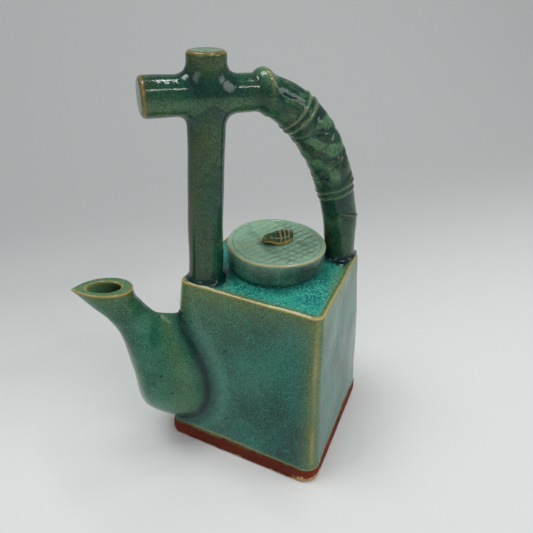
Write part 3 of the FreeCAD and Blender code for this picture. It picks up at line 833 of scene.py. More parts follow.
def make_post(sizes, glaze):
    """Post: level rays from its leaning axis out to the soft union with crossbar and top face."""
    blend, foot = mm(sizes.blend), mm(sizes.foot_blend)
    z = np.concatenate([np.linspace(TOP_FACE - 1.0, TOP_FACE + 6, 22, endpoint=False),
                        np.linspace(TOP_FACE + 6, BAR_AXIS - 17, 90, endpoint=False),
                        np.linspace(BAR_AXIS - 17, BAR_AXIS - 2, 40)])
    centres, headings = level_rays(z)

    def skin(points, _):
        joined = own_skin(upright_distance(points), bar_distance(points), blend)
        return own_skin(joined, top_distance(points), foot)

    grid = cast(centres, headings, skin, CORE, POST_RADIUS + 6.5)
    foot_gap = grid[..., 2] - TOP_FACE
    a, b = upright_distance(grid), bar_distance(grid)
    side = (grid[..., 0] - centres[..., 0]) / POST_RADIUS
    flank = np.abs(grid[..., 0] - centres[..., 0])
    pool = np.maximum(joint_pool(a, b, 4.2) * (0.3 + 0.65 * flank / POST_RADIUS),
                      joint_pool(a, foot_gap, 3.2))
    # Olive on the left side and teal on the right: thin glaze, and painted light, the lit left side
    # lighter and the right side in painted shade.
    thin = smooth_step(0.5 - 0.65 * side + 0.35 * waves(grid * [1, 1, 0.35], 15, 63)) * 0.85
    thin = thin * (1 - 0.6 * bell(foot_gap, 6)) * (1 - 0.5 * pool)
    thin = thin * (1 - 0.85 * bell(np.maximum(b, 0), 4.0))
    masks = {"edge": 0.12 * bell(side + 0.1, 0.35), "thin": thin, "pool": pool}
    poles = [(POST_FOOT_X, 0, TOP_FACE - 1.0), (FINIAL_X, 0, BAR_AXIS - 1.5)]
    piece = closed_piece("handle_post_glazed", hand_built(grid, sizes), masks, poles)
    return settle(piece, glaze, "vessel", "handle_glaze", "handle_post")


def make_finial(sizes, glaze):
    """Finial: level rays to the soft union with the crossbar, then a rounded rim and a low dome."""
    blend = mm(sizes.blend)
    top, roll = FINIAL[1][2] - 0.2, 1.9
    z = np.concatenate([np.linspace(BAR_AXIS + 2, BAR_AXIS + 13, 34, endpoint=False),
                        np.linspace(BAR_AXIS + 13, top - roll, 6)])
    centres, headings = level_rays(z)

    def skin(points, _):
        return own_skin(upright_distance(points), bar_distance(points), blend)

    side = cast(centres, headings, skin, CORE, FINIAL_RADIUS + 6.5)
    rim = np.linalg.norm((side[-1] - centres[-1])[:, :2], axis=1)
    turn = np.linspace(0, math.pi / 2, 9)[1:, None]
    flat = np.linspace(1, 0, 9)[1:-1, None]
    radius = np.concatenate([rim - roll + roll * np.cos(turn), (rim - roll) * flat])
    height = np.concatenate([top - roll + roll * np.sin(turn), top - 0.35 * (1 - flat ** 2)])
    cap = centres[-1] * [1, 1, 0] + headings[0] * radius[..., None]
    cap[..., 2] = height
    grid = np.concatenate([side, cap])
    a, b = upright_distance(grid), bar_distance(grid)
    pool = joint_pool(a, b, 3.8) * (0.45 + 0.5 * np.abs(grid[..., 0] - FINIAL_X) / 8)
    out = np.hypot(grid[..., 0] - FINIAL_X, grid[..., 1]) / FINIAL_RADIUS
    edge = 0.62 * bell(np.hypot(grid[..., 2] - top + 0.6, 3 * (out - 0.93)), 0.9)
    thin = smooth_step((grid[..., 2] - BAR_AXIS - 5) / 7) * 1.1 * (out > 0.8)
    # The top disc is painted pale: a painted reflection of the overhead light.
    pale = 0.9 * smooth_step((0.9 - out) / 0.12) * (grid[..., 2] > top - 1.5)
    masks = {"edge": edge, "thin": thin * (1 - pool), "pool": pool, "pale": pale}
    poles = [(FINIAL_X, 0, BAR_AXIS + 1), (FINIAL_X, 0, top - 0.35)]
    piece = closed_piece("handle_finial", hand_built(grid, sizes), masks, poles)
    return settle(piece, glaze, "vessel", "handle_glaze", "post_finial")


def make_crossbar(sizes, glaze):
    """Crossbar: upright rings of rays to the soft union with post and finial, and a rounded end."""
    blend, roll = mm(sizes.blend), 2.0
    left, right = BAR[0][0] + 0.2, ARCH_START_X + 0.6
    x = np.concatenate([np.linspace(left + roll, FINIAL_X - 16, 16, endpoint=False),
                        np.linspace(FINIAL_X - 16, FINIAL_X + 16, 80, endpoint=False),
                        np.linspace(FINIAL_X + 16, right, 14)])
    centres = np.stack([x, 0 * x, 0 * x + BAR_AXIS], -1)[:, None, :]
    upright_rings = ring_headings(BAR_COLUMNS, (0, 1, 0), (0, 0, 1))
    headings = np.broadcast_to(upright_rings, (len(x), *upright_rings.shape))

    def skin(points, _):
        return own_skin(bar_distance(points), upright_distance(points), blend)

    side = cast(centres, headings, skin, CORE, BAR_RADIUS + 6.0)
    tuck = smooth_step((x - right + 1.6) / 1.6)[:, None, None]
    side = side + (centres - side) * 0.12 * tuck
    rim = np.linalg.norm(side[0] - centres[0], axis=1)
    turn = np.linspace(math.pi / 2, 0, 9)[:-1, None]
    flat = np.linspace(0, 1, 9)[1:-1, None]
    radius = np.concatenate([(rim - roll) * flat, rim - roll + roll * np.cos(turn)])
    cap = headings[0] * radius[..., None] + np.array([0, 0, BAR_AXIS])
    cap[..., 0] = np.concatenate([left - 0.15 + 0.3 * flat ** 2, left + roll - roll * np.sin(turn)])
    grid = np.concatenate([cap, side])
    a, b = bar_distance(grid), upright_distance(grid)
    pool = joint_pool(a, b, 4.0) * (0.5 + 0.45 * (grid[..., 2] > BAR_AXIS))
    out = np.hypot(grid[..., 1], grid[..., 2] - BAR_AXIS) / BAR_RADIUS
    edge = 0.7 * bell(np.hypot(grid[..., 0] - left - 0.9, 3.4 * (out - 0.94)), 1.1)
    # A pale olive band along the lower front: a painted reflection, laid into the thin and pale
    # masks.
    belly_sheen = bell(grid[..., 2] - BAR_AXIS + 3.2, 3.2) * (grid[..., 1] < 0)
    belly_sheen = belly_sheen * smooth_step((right - grid[..., 0]) / 9)
    thin = 0.45 * belly_sheen + 0.6 * np.exp(-np.maximum(grid[..., 0] - left, 0) / 5) * (out > 0.9)
    thin = thin + 0.3 * smooth_step(waves(grid, 17, 64))
    end_face = (grid[..., 0] < left + 1.5) * smooth_step((0.9 - out) / 0.12)
    pale = np.maximum(0.8 * end_face, 0.5 * belly_sheen)
    masks = {"edge": edge, "thin": thin * (1 - pool), "pool": pool, "pale": pale}
    poles = [(left - 0.15, 0, BAR_AXIS), (right, 0, BAR_AXIS)]
    piece = closed_piece("handle_crossbar_glazed", hand_built(grid, sizes), masks, poles)
    return settle(piece, glaze, "vessel", "handle_glaze", "handle_crossbar")


def arch_line(t):
    """Centre line of the bamboo: a superellipse of exponent 1.75 from the crossbar to the foot."""
    angle = np.clip(t, 0, 1) * math.pi / 2
    power = 2 / 1.75
    x = ARCH_START_X + (ARCH_FOOT_X - ARCH_START_X) * np.sin(angle) ** power
    z = TOP_FACE + (BAR_AXIS - TOP_FACE) * np.maximum(np.cos(angle), 0) ** power
    x = x + np.minimum(t, 0) * 60
    z = z - np.maximum(t - 1, 0) * 100
    return np.stack([x, 0 * x, z], -1)


def make_arch(sizes, glaze):
    """Bamboo arch: rays square to the centre line, as long as the stem's radius there.

    The radius swells past the crossbar and thins to the foot. Bell-shaped ridges stand
    for the node rings and the slanting sheath, crossed shallow lines for the leaf scars.
    """
    t = np.concatenate([np.linspace(-0.05, 0.0, 8, endpoint=False), np.linspace(0, 1, 285),
                        np.linspace(1, 1.015, 5)[1:]])
    line = arch_line(t)
    heading = arch_line(t + 1e-3) - arch_line(t - 1e-3)
    heading /= np.linalg.norm(heading, axis=1, keepdims=True)
    outward = np.stack([-heading[:, 2], 0 * t, heading[:, 0]], -1)
    turn = np.linspace(0, TAU, ARCH_COLUMNS, endpoint=False)
    to_front = np.array([0, -1.0, 0])
    headings = (np.cos(turn)[None, :, None] * outward[:, None, :]
                + np.sin(turn)[None, :, None] * to_front)
    length = np.concatenate([[0], np.cumsum(np.linalg.norm(np.diff(line, axis=0), axis=1))])
    place = length - np.interp(0, t, length)

    def at(share):
        """Length along the stem at a share of the way down."""
        return np.interp(share, t, place)

    s = place[:, None]
    top = np.cos(turn)[None, :]
    side = np.sin(turn)[None, :]
    swell = np.sin(math.pi * np.clip(t / 0.5, 0, 1) / 2)
    thin_down = smooth_step((t - 0.35) / 0.65)
    radius = BAR_RADIUS - 0.6 + (ARCH_TOP_RADIUS - BAR_RADIUS + 0.5) * swell
    radius = (radius - (ARCH_TOP_RADIUS - ARCH_FOOT_RADIUS) * thin_down)[:, None]
    high = mm(sizes.ring_height)
    knuckle_at = at(KNUCKLE) - 2.6 * top - 0.8
    knuckle = bell(s - knuckle_at, 2.5) * (0.45 + 1.9 * smooth_step(top * 1.2) ** 2)
    upper = [bell(s - at(share) + 0.3 * side, 0.9) for share in UPPER_RINGS]
    gully = bell(s - at(GULLY), 1.2)
    lower = [bell(s - at(share) + 0.9 * side, 0.75) for share in LOWER_RINGS]
    collar = smooth_step((s - at(0.6)) / 4) * smooth_step((at(LOWER_RINGS[0]) - s) / 1.2 + 0.6)
    slant_at = at(SHEATH) - 8.0 + 5.0 * top - 1.5 * side
    sheath = bell(s - slant_at, 0.8) * smooth_step((top + 0.7) / 0.7)
    bulge = bell(s - at(BULGE), 7.5)
    leafy = smooth_step((s - at(LEAF_START)) / 5) * smooth_step((at(LEAF_END) - s) / 6)
    bark = smooth_step((s - at(BARK_START)) / 3) * smooth_step((at(BARK_END) - s) / 3)
    points = line[:, None, :] + headings * radius[..., None]
    drift = 0.9 * waves(points, 13, 71)
    first = np.abs(np.sin(math.pi * (s + drift) / 13 + turn))
    second = np.abs(np.sin(math.pi * (s - drift) / 11 - turn))
    scars = leafy * np.maximum(bell(first, 0.16), bell(second, 0.15))
    stripes = bark * bell(np.abs(np.sin(4.5 * turn + 0.05 * s + drift)), 0.22)
    radius = radius + knuckle + high * (upper[0] + upper[1]) - 0.35 * gully
    radius = radius + 0.75 * high * (lower[0] + lower[1]) + 0.45 * collar * (0.6 + 0.4 * top)
    radius = radius + 0.45 * sheath
    radius = radius + 0.45 * bulge * (0.5 + 0.5 * top) - 0.28 * scars - 0.18 * stripes
    radius = radius + 0.2 * waves(points, 20, 72) + 0.16 * leafy * waves(points, 5.5, 73)
    radius = radius - 0.35 * smooth_step(-t / 0.05)[:, None]

    def skin(places, out):
        return own_skin(out - radius, top_distance(places), mm(sizes.foot_blend))

    grid = cast(line[:, None, :], headings, skin, CORE, 16.0)
    rings = np.maximum.reduce([upper[0], upper[1], 0.75 * lower[0], 0.75 * lower[1]])
    crest = bell(s - knuckle_at, 1.1) * (0.5 + 0.5 * smooth_step(top + 0.5))
    crest = (0.3 + 0.3 * smooth_step(top + 0.3)) * crest
    edge = np.maximum.reduce([0.46 * rings, crest, 0.5 * sheath])
    foot_gap = grid[..., 2] - TOP_FACE
    behind = smooth_step(s / 4) * bell(s - knuckle_at + 3.0, 1.8)
    behind = behind + 0.8 * bell(s - knuckle_at - 3.4, 1.8)
    valley = (0.5 * bell(s - at(GULLY), 0.8) + 0.35 * bell(s - at(0.33), 1.4)
              + 0.3 * bell(s - at(0.7), 2.5))
    pool = np.clip(0.3 * behind + valley + 0.22 * scars + 0.25 * stripes, 0, 0.75)
    pool = np.maximum(pool * (1 - 0.7 * edge), bell(foot_gap, 3.2))
    foot_part = smooth_step((s - at(0.78)) / 10)
    thin = 0.3 * smooth_step(0.3 + waves(points, 14, 74))
    thin = thin + 0.5 * foot_part * smooth_step(0.5 + waves(points, 17, 75))
    thin = (thin + 0.45 * bark * smooth_step(0.3 + waves(points, 8, 76))) * (1 - pool)
    stretch = line[:, None, :] + headings * (radius * 1.6)[..., None]
    leaf = leafy * smooth_step(0.4 + 1.4 * waves(stretch, 11, 77))
    leaf = leaf + 0.7 * bark * smooth_step(waves(stretch, 7, 78) + 0.2)
    below = 0.5 * smooth_step((s - at(0.7)) / 6) * smooth_step(waves(stretch, 12, 79))
    pale = np.maximum.reduce([0.8 * leaf * (1 - 0.7 * scars), 0.9 * rings, 0.5 * knuckle, below])
    pale = pale * (1 - 0.7 * pool)
    masks = {"edge": edge * (1 - bell(foot_gap, 3)), "thin": thin, "pool": pool, "pale": pale}
    piece = closed_piece("bamboo_arch_glazed", hand_built(grid, sizes), masks, [line[0], line[-1]])
    return settle(piece, glaze, "vessel", "handle_glaze", "bamboo_arch", "arch_joint_ring",
                  "arch_upper_rings", "arch_lower_rings", "arch_sheath_ridge")


# ---- lid --------------------------------------------------------------------------------

LID_TOP_THICKNESS = 4.9
LID_COLUMNS, FLANGE_COLUMNS = 520, 160


def scored(x, y, degrees, pitch, width, drift):
    """A family of parallel scored lines: 1 on a line, 0 between; the lines drift a little."""
    angle = math.radians(degrees)
    across = -x * math.sin(angle) + y * math.cos(angle) + drift
    return bell((across / pitch - np.round(across / pitch)) * pitch, width)


def make_lid(sizes, glaze):
    """Lid: a profile turned about its axis, its top pressed down along two sets of scored lines."""
    low, high = LID[0][2], LID[1][2] - 0.1
    hollow = high - LID_TOP_THICKNESS
    top = np.stack([np.linspace(0.3, LID_RADIUS - 1.0, 80), np.full(80, high)], -1)
    rim = round_corner((0, high), (LID_RADIUS - 0.05, high), (LID_RADIUS - 0.05, low), 0.75, 8)
    side = through([(LID_RADIUS - 0.05, high - 1.2), (LID_RADIUS - 0.1, low + 2.2)], 0.8)
    under = [(LID_RADIUS - 0.25, low + 1.3), (LID_RADIUS - 0.75, low + 0.5),
             (LID_RADIUS - 1.5, low + 0.05), (LID_RADIUS - 3.0, low), (FLANGE_RADIUS + 0.4, low),
             (FLANGE_RADIUS, low + 0.4), (FLANGE_RADIUS, hollow - 0.3),
             (FLANGE_RADIUS - 0.3, hollow), (9.0, hollow), (3.0, hollow)]
    profile = np.concatenate([top, rim, side, under])
    grid = lathe(profile, LID_X, LID_COLUMNS)
    x, y = grid[..., 0] - LID_X, grid[..., 1]
    on_top = (np.arange(len(profile)) < len(top) + 4)[:, None]
    out = np.hypot(x, y)
    drift = 0.35 * waves(grid, 24, 81)
    pitch = mm(sizes.groove_pitch)
    inside = smooth_step((LID_RADIUS - 3.4 - out) / 0.8)
    right = smooth_step((x * 0.8 - y * 0.5 + 5) / 5)
    long_lines = scored(x, y, 20, pitch, 0.32, drift) * (0.35 + 0.65 * right)
    cross_lines = scored(x, y, -52, pitch * 1.15, 0.28, -drift) * right * smooth_step((x + 6) / 5)
    ring = bell(out - (LID_RADIUS - 2.6), 0.35)
    knob = bell(np.maximum(np.hypot((x + 0.5) / 2.0, y) - 4.0, 0), 1.0)
    lines = np.maximum(long_lines, cross_lines) * inside * (1 - knob)
    grid[..., 2] -= on_top * mm(sizes.groove_depth) * (lines + 0.7 * ring)
    grid[..., 2] += on_top * (0.1 * waves(grid, 6, 82) - 0.35 * (1 - (out / LID_RADIUS) ** 2))
    rim_gap = np.hypot(out - LID_RADIUS + 0.35, grid[..., 2] - high + 0.35)
    edge = 0.75 * bell(rim_gap, 0.75)
    streaks = smooth_step(0.2 + waves(grid * [0.5, 1.6, 1], 7, 83))
    edge = np.maximum(edge, 0.36 * on_top * streaks * (1 - lines))
    side_part = (grid[..., 2] < high - 1.2)
    blotch = side_part * 0.85 * np.maximum(bell(x - 7, 9), 0.5 * smooth_step(waves(grid, 22, 84)))
    low_shade = side_part * bell(grid[..., 2] - low, 1.2)
    # Here the pool mask also holds painted shade: low_shade along the lid's lower edge over the gap
    # to the collar, and a patch on the top left of the leaf, under its lifted tip.
    pool = np.maximum.reduce([on_top * (0.72 * lines + 0.4 * ring), blotch * (y < 0), low_shade,
                              on_top * 0.5 * knob * (x < 2)])
    thin = on_top * (0.2 + 0.25 * smooth_step(waves(grid * [0.6, 1.5, 1], 9, 85))) + side_part * 0.3
    pale = on_top * (0.9 - 0.25 * smooth_step(waves(grid, 12, 86))) + bell(rim_gap, 3.0) * 0.4
    masks = {"edge": edge * (1 - 0.5 * pool), "thin": thin, "pool": pool, "pale": pale}
    poles = [(LID_X, 0, high - 0.35), (LID_X, 0, hollow)]
    piece = closed_piece("lid_drum_scored", hand_built(grid, sizes), masks, poles)
    return settle(piece, glaze, "lid", "lid_glaze", "lid_drum")


def make_flange(clay):
    """Flange under the lid: a closed profile turned about the lid's axis."""
    low, high = FLANGE[0][2], FLANGE[1][2]
    outer, inner = FLANGE_RADIUS - 0.05, FLANGE_RADIUS - 3.5
    turn = np.linspace(0, math.pi / 2, 6)
    heel = np.stack([outer - 1 + np.cos(turn), low + 1 - np.sin(turn)], -1)
    toe = np.stack([inner + 1 - np.sin(turn), low + 1 - np.cos(turn)], -1)
    up = through([(inner, low + 1.4), (inner, high - 0.2)], 1.2)
    down = through([(outer, high - 0.2), (outer, low + 1.4)], 1.2)
    profile = np.concatenate([heel, toe, up, down])
    grid = lathe(profile, LID_X, FLANGE_COLUMNS)
    away = (grid - [LID_X, 0, 0]) * [1, 1, 0] / FLANGE_RADIUS
    grid = grid + away * (0.08 * waves(grid, 6, 91))[..., None]
    masks = {"edge": 0.4 * bell(profile[:, 1:] - low - 0.4, 0.7)}
    piece = closed_piece("lid_flange_bare", grid, masks)
    return settle(piece, clay, "lid", "bare_clay", "lid_flange")


def make_knob(sizes, glaze):
    """Leaf knob: rounded sections carried along a slightly turned line.

    The leaf swells to its right end and runs out to a thin tip on the left, which stands
    clear of the lid. Three curved ribs cross its right half.
    """
    rows, columns = 110, 96
    u = (1 - np.cos(np.linspace(0.03, math.pi - 0.03, rows)))[:, None] / 2
    turn = np.linspace(0, TAU, columns, endpoint=False)[None, :]
    length = KNOB[1][0] - KNOB[0][0]
    base = LID[1][2] - 0.45
    x = -length / 2 + length * u
    leaf = np.sqrt(np.clip(1 - np.abs(2 * u ** 0.8 - 1) ** 2.2, 0, 1))
    width = (KNOB[1][1] - KNOB[0][1]) / 2 * leaf * 0.98
    width = width * (0.55 + 0.45 * smooth_step(u * 1.8))
    arched = np.clip(1 - np.abs(1.75 * (u - 0.57)) ** 2.3, 0.02, 1) ** 0.6
    height = (KNOB[1][2] - LID[1][2] + 0.3) * arched
    lift = 1.75 * smooth_step((0.42 - u) / 0.34)
    upper = np.maximum(np.sin(turn), 0)
    lower = np.maximum(-np.sin(turn), 0)
    thick = 0.8 + 0.3 * smooth_step(u * 3)
    y = width * np.cos(turn)
    rise = np.where(np.sin(turn) >= 0, height * upper ** 0.85, -thick * lower)
    bow = 0.1 * (y + 1.0) ** 2 * 0.35
    ribs = sum(bell(x - centre + bow - 0.25 * y, 0.42) for centre in (0.6, 3.0, 5.4))
    ribs = ribs * (upper > 0)
    veins = bell(np.abs(np.sin(math.pi * (x * 0.55 + 0.8 * np.abs(y)))), 0.3)
    veins = (u < 0.5) * smooth_step(u * 4) * veins * upper
    middle = bell(y + 0.4, 0.35) * smooth_step((0.62 - u) / 0.2) * upper
    z = base + lift + thick * 0.5 + rise + 0.42 * ribs * upper ** 0.3 - 0.2 * veins + 0.25 * middle
    angle = math.radians(8)
    grid = np.stack([LID_X + x * math.cos(angle) - y * math.sin(angle) + 0.3,
                     x * math.sin(angle) + y * math.cos(angle), z + 0 * x], -1)
    border = bell(np.sin(turn) - 0.12, 0.2) * np.ones_like(u)
    tip = smooth_step((0.16 - u) / 0.12)
    crest = 0.9 * ribs * smooth_step(upper * 3)
    edge = np.maximum.reduce([crest, 0.85 * border, 0.6 * tip * upper])
    gaps = (bell(x - 1.8 - 0.25 * y, 0.7) + bell(x - 4.2 - 0.25 * y, 0.7)
            + bell(x + 0.7 - 0.25 * y, 0.8)) * upper
    # The underside of the leaf is painted dark: painted shade under the leaf.
    pool = np.clip(0.7 * gaps * (1 - ribs) + 0.9 * lower + 0.4 * veins, 0, 1)
    masks = {"edge": edge, "thin": 0.35 + 0.3 * waves(grid, 6, 95), "pool": pool}
    poles = [grid[0].mean(0), grid[-1].mean(0)]
    piece = closed_piece("knob_leaf_ribbed", hand_built(grid, sizes), masks, poles)
    return settle(piece, glaze, "lid", "leaf_glaze", "knob_leaf", "knob_bands")


# ---- glazes and clay --------------------------------------------------------------------

def put(tree, kind, inputs=None, **settings):
    """Adds a node; an input is a value or a socket to link from."""
    node = tree.nodes.new(kind)
    for key, value in settings.items():
        setattr(node, key, value)
    for key, value in (inputs or {}).items():
        if isinstance(value, bpy.types.NodeSocket):
            tree.links.new(value, node.inputs[key])
        else:
            node.inputs[key].default_value = value
    return node


def calc(tree, operation, *values, clamp=False):
    """A Math node's value."""
    inputs = dict(enumerate(values))
    return put(tree, "ShaderNodeMath", inputs, operation=operation, use_clamp=clamp).outputs[0]


def between(tree, value, low, high, to_low=0.0, to_high=1.0):
    """A value carried smoothly from one range to another."""
    inputs = {"Value": value, "From Min": low, "From Max": high,
              "To Min": to_low, "To Max": to_high}
    return put(tree, "ShaderNodeMapRange", inputs, interpolation_type="SMOOTHSTEP").outputs[0]


def over(tree, share, under, top):
    """One colour laid over another by a share."""
    inputs = {0: share, 6: under, 7: top}
    return put(tree, "ShaderNodeMix", inputs, data_type="RGBA", clamp_factor=True).outputs[2]


def rgba(colour_value):
    """A palette colour with full opacity."""
    return (*colour_value, 1.0)


def new_group(name, inputs, outputs):
    """A new shader node group with number inputs and outputs, and its two end nodes."""
    group = bpy.data.node_groups.new(name, "ShaderNodeTree")
    kind = "NodeSocketFloat"
    for label, value in inputs:
        socket = group.interface.new_socket(name=label, in_out="INPUT", socket_type=kind)
        socket.default_value = value
    for label in outputs:
        group.interface.new_socket(name=label, in_out="OUTPUT", socket_type=kind)
    return group, group.nodes.new("NodeGroupInput"), group.nodes.new("NodeGroupOutput")


def object_place(tree):
    """Object coordinates."""
    return put(tree, "ShaderNodeTexCoord").outputs["Object"]


def cloud(tree, place, scale, detail=3.0, roughness=0.55, distortion=0.0):
    """A noise value."""
    inputs = {"Vector": place, "Scale": scale, "Detail": detail,
              "Roughness": roughness, "Distortion": distortion}
    return put(tree, "ShaderNodeTexNoise", inputs).outputs["Fac"]


def crackle_group():
    """Crackle: thin lines between irregular cells, in two sizes.

    Cells is the number of cells to the metre and Width the lines' share of a cell.
    Lines is the mask.
    """
    if "Crackle" in bpy.data.node_groups:
        return bpy.data.node_groups["Crackle"]
    group, given, result = new_group("Crackle", [("Cells", 700.0), ("Width", 0.08)], ["Lines"])
    place = object_place(group)
    bend = put(group, "ShaderNodeTexNoise", {"Vector": place, "Scale": 420.0, "Detail": 2.0})
    bend = put(group, "ShaderNodeVectorMath", {0: bend.outputs["Color"], "Scale": 0.0011},
               operation="SCALE").outputs[0]
    place = put(group, "ShaderNodeVectorMath", {0: place, 1: bend}, operation="ADD").outputs[0]
    small = put(group, "ShaderNodeTexVoronoi", {"Vector": place, "Scale": given.outputs["Cells"]},
                feature="DISTANCE_TO_EDGE").outputs["Distance"]
    wide = calc(group, "MULTIPLY", given.outputs["Cells"], 0.3)
    large = put(group, "ShaderNodeTexVoronoi", {"Vector": place, "Scale": wide},
                feature="DISTANCE_TO_EDGE").outputs["Distance"]
    fine = between(group, small, 0.0, given.outputs["Width"], 1.0, 0.0)
    half_width = calc(group, "MULTIPLY", given.outputs["Width"], 0.5)
    coarse = between(group, large, 0.0, half_width, 1.0, 0.0)
    group.links.new(calc(group, "MAXIMUM", fine, coarse), result.inputs["Lines"])
    return group


def mottle_group():
    """Mottle: slow clouds, and fine pale specks and dark pits of the glaze.

    Slow and Fine are the sizes as cells to the metre. All three outputs run from 0 to 1.
    """
    if "Mottle" in bpy.data.node_groups:
        return bpy.data.node_groups["Mottle"]
    group, given, result = new_group("Mottle", [("Slow", 45.0), ("Fine", 900.0)],
                                     ["Cloud", "Specks", "Pits"])
    place = object_place(group)
    slow = cloud(group, place, given.outputs["Slow"], 4.0, 0.6, 0.6)
    group.links.new(between(group, slow, 0.32, 0.68), result.inputs["Cloud"])
    fine = cloud(group, place, given.outputs["Fine"], 2.0, 0.75, 0.3)
    patch = cloud(group, place, calc(group, "MULTIPLY", given.outputs["Fine"], 0.12), 2.0, 0.5)
    share = between(group, patch, 0.3, 0.7, 0.45, 1.0)
    specks = between(group, fine, 0.49, 0.6)
    pits = between(group, fine, 0.4, 0.49, 1.0, 0.0)
    for mask, label in ((specks, "Specks"), (pits, "Pits")):
        group.links.new(calc(group, "MULTIPLY", mask, share), result.inputs[label])
    return group


def break_group():
    """Break: a mask whose border is torn by noise, as glaze breaks over an edge.

    Mask is the clean mask, Tear how much the noise moves it, Size cells to the metre.
    """
    if "Break" in bpy.data.node_groups:
        return bpy.data.node_groups["Break"]
    inputs = [("Mask", 0.0), ("Tear", 0.5), ("Size", 260.0)]
    group, given, result = new_group("Break", inputs, ["Mask"])
    noise = cloud(group, object_place(group), given.outputs["Size"], 4.0, 0.65)
    shift = calc(group, "MULTIPLY", calc(group, "SUBTRACT", noise, 0.5), given.outputs["Tear"])
    shift = calc(group, "MULTIPLY", shift, between(group, given.outputs["Mask"], 0.0, 0.25))
    torn = calc(group, "ADD", given.outputs["Mask"], shift, clamp=True)
    group.links.new(torn, result.inputs["Mask"])
    return group


def add_bump(tree, shader, height, strength, distance):
    """Sets a height as the shader's bump."""
    inputs = {"Height": height, "Strength": strength, "Distance": distance}
    tree.links.new(put(tree, "ShaderNodeBump", inputs).outputs[0], shader.inputs["Normal"])


def torn(tree, name, tear, size):
    """A point attribute as a mask, torn at its border by the Break group."""
    mask = put(tree, "ShaderNodeAttribute", attribute_name=name).outputs["Fac"]
    inputs = {"Mask": mask, "Tear": tear, "Size": size}
    return put(tree, "ShaderNodeGroup", inputs, node_tree=break_group()).outputs["Mask"]


def new_material(name):
    """A node material, its tree and its shader."""
    material = bpy.data.materials.new(name)
    material.use_nodes = True
    tree = material.node_tree
    shader = tree.nodes["Principled BSDF"]
    return material, tree, shader


# What a glaze looks like where its piece says nothing else. Shares run from 0 to 1;
# slow, fine and ripple are cells to the metre; cells is a share of the crackle's own.
# pools is the share laid on of the pool mask, which holds glaze pooling and painted shade.
PLAIN_LOOK = {"fine": 1000.0, "ripple": 230.0, "bump": 0.3, "cells": 1.0, "width": 0.12,
              "lines": 0.3, "tear": 0.5, "olive": 0.8, "specks": 0.4, "pits": 0.6, "pools": 0.9,
              "edge": 0.85, "iron": 0.5, "gloss": 0.33}
PIT_SHADE = 0.4                 # a pit's colour is this share of the deep glaze


def glaze_material(name, colours, sizes, deep, light, changes):
    """Glossy celadon glaze.

    Slow clouds mix the deep and the light colour. Thin places turn olive, and so does the
    painted light on the handle; pools and painted shade go dark; milky places and a painted
    reflection go pale, and edges break to tan. Fine specks and crackle lie over the whole,
    and a slow bump makes reflections waver.
    """
    look = {**PLAIN_LOOK, "thin": colours.olive, "speck": light, "line": deep, "tan": colours.tan,
            **changes}
    material, tree, shader = new_material(name)
    place = object_place(tree)
    mottle = put(tree, "ShaderNodeGroup", {"Slow": look["slow"], "Fine": look["fine"]},
                 node_tree=mottle_group())
    crackle = put(tree, "ShaderNodeGroup",
                  {"Cells": look["cells"] / sizes.crackle_cell, "Width": look["width"]},
                  node_tree=crackle_group())
    lines = crackle.outputs["Lines"]
    edge = torn(tree, "edge", look["tear"], 320.0)
    iron = cloud(tree, place, 230.0, 2.0, 0.5)

    def share(mask, key):
        return calc(tree, "MULTIPLY", mask, look[key])

    layers = [(torn(tree, "pale", 0.5, 240.0), look["pale"])] if "pale" in look else []
    layers += [(share(torn(tree, "thin", look["tear"], 150.0), "olive"), look["thin"]),
               (share(mottle.outputs["Specks"], "specks"), look["speck"]),
               (share(mottle.outputs["Pits"], "pits"), [value * PIT_SHADE for value in deep]),
               (share(lines, "lines"), look["line"]),
               (share(torn(tree, "pool", 0.5, 200.0), "pools"), colours.pool),
               (between(tree, edge, 0.15, 1.0, 0.0, look["edge"]), look["tan"]),
               (between(tree, iron, 0.735, 0.77, 0.0, look["iron"]), colours.iron)]
    skin = over(tree, mottle.outputs["Cloud"], rgba(deep), rgba(light))
    for amount, tint in layers:
        skin = over(tree, amount, skin, rgba(tint))
    tree.links.new(skin, shader.inputs["Base Color"])
    tree.links.new(between(tree, edge, 0.1, 0.8, 0.09, 0.13), shader.inputs["Roughness"])
    shader.inputs["IOR"].default_value = 1.5
    shader.inputs["Specular IOR Level"].default_value = look["gloss"]
    orange_peel = cloud(tree, place, look["ripple"], 2.0, 0.45)
    grain = calc(tree, "MULTIPLY", cloud(tree, place, 1400.0, 2.0, 0.5), 0.12)
    height = calc(tree, "ADD", orange_peel, grain)
    height = calc(tree, "SUBTRACT", height, calc(tree, "MULTIPLY", lines, 0.03))
    add_bump(tree, shader, height, look["bump"], 0.0006)
    return material


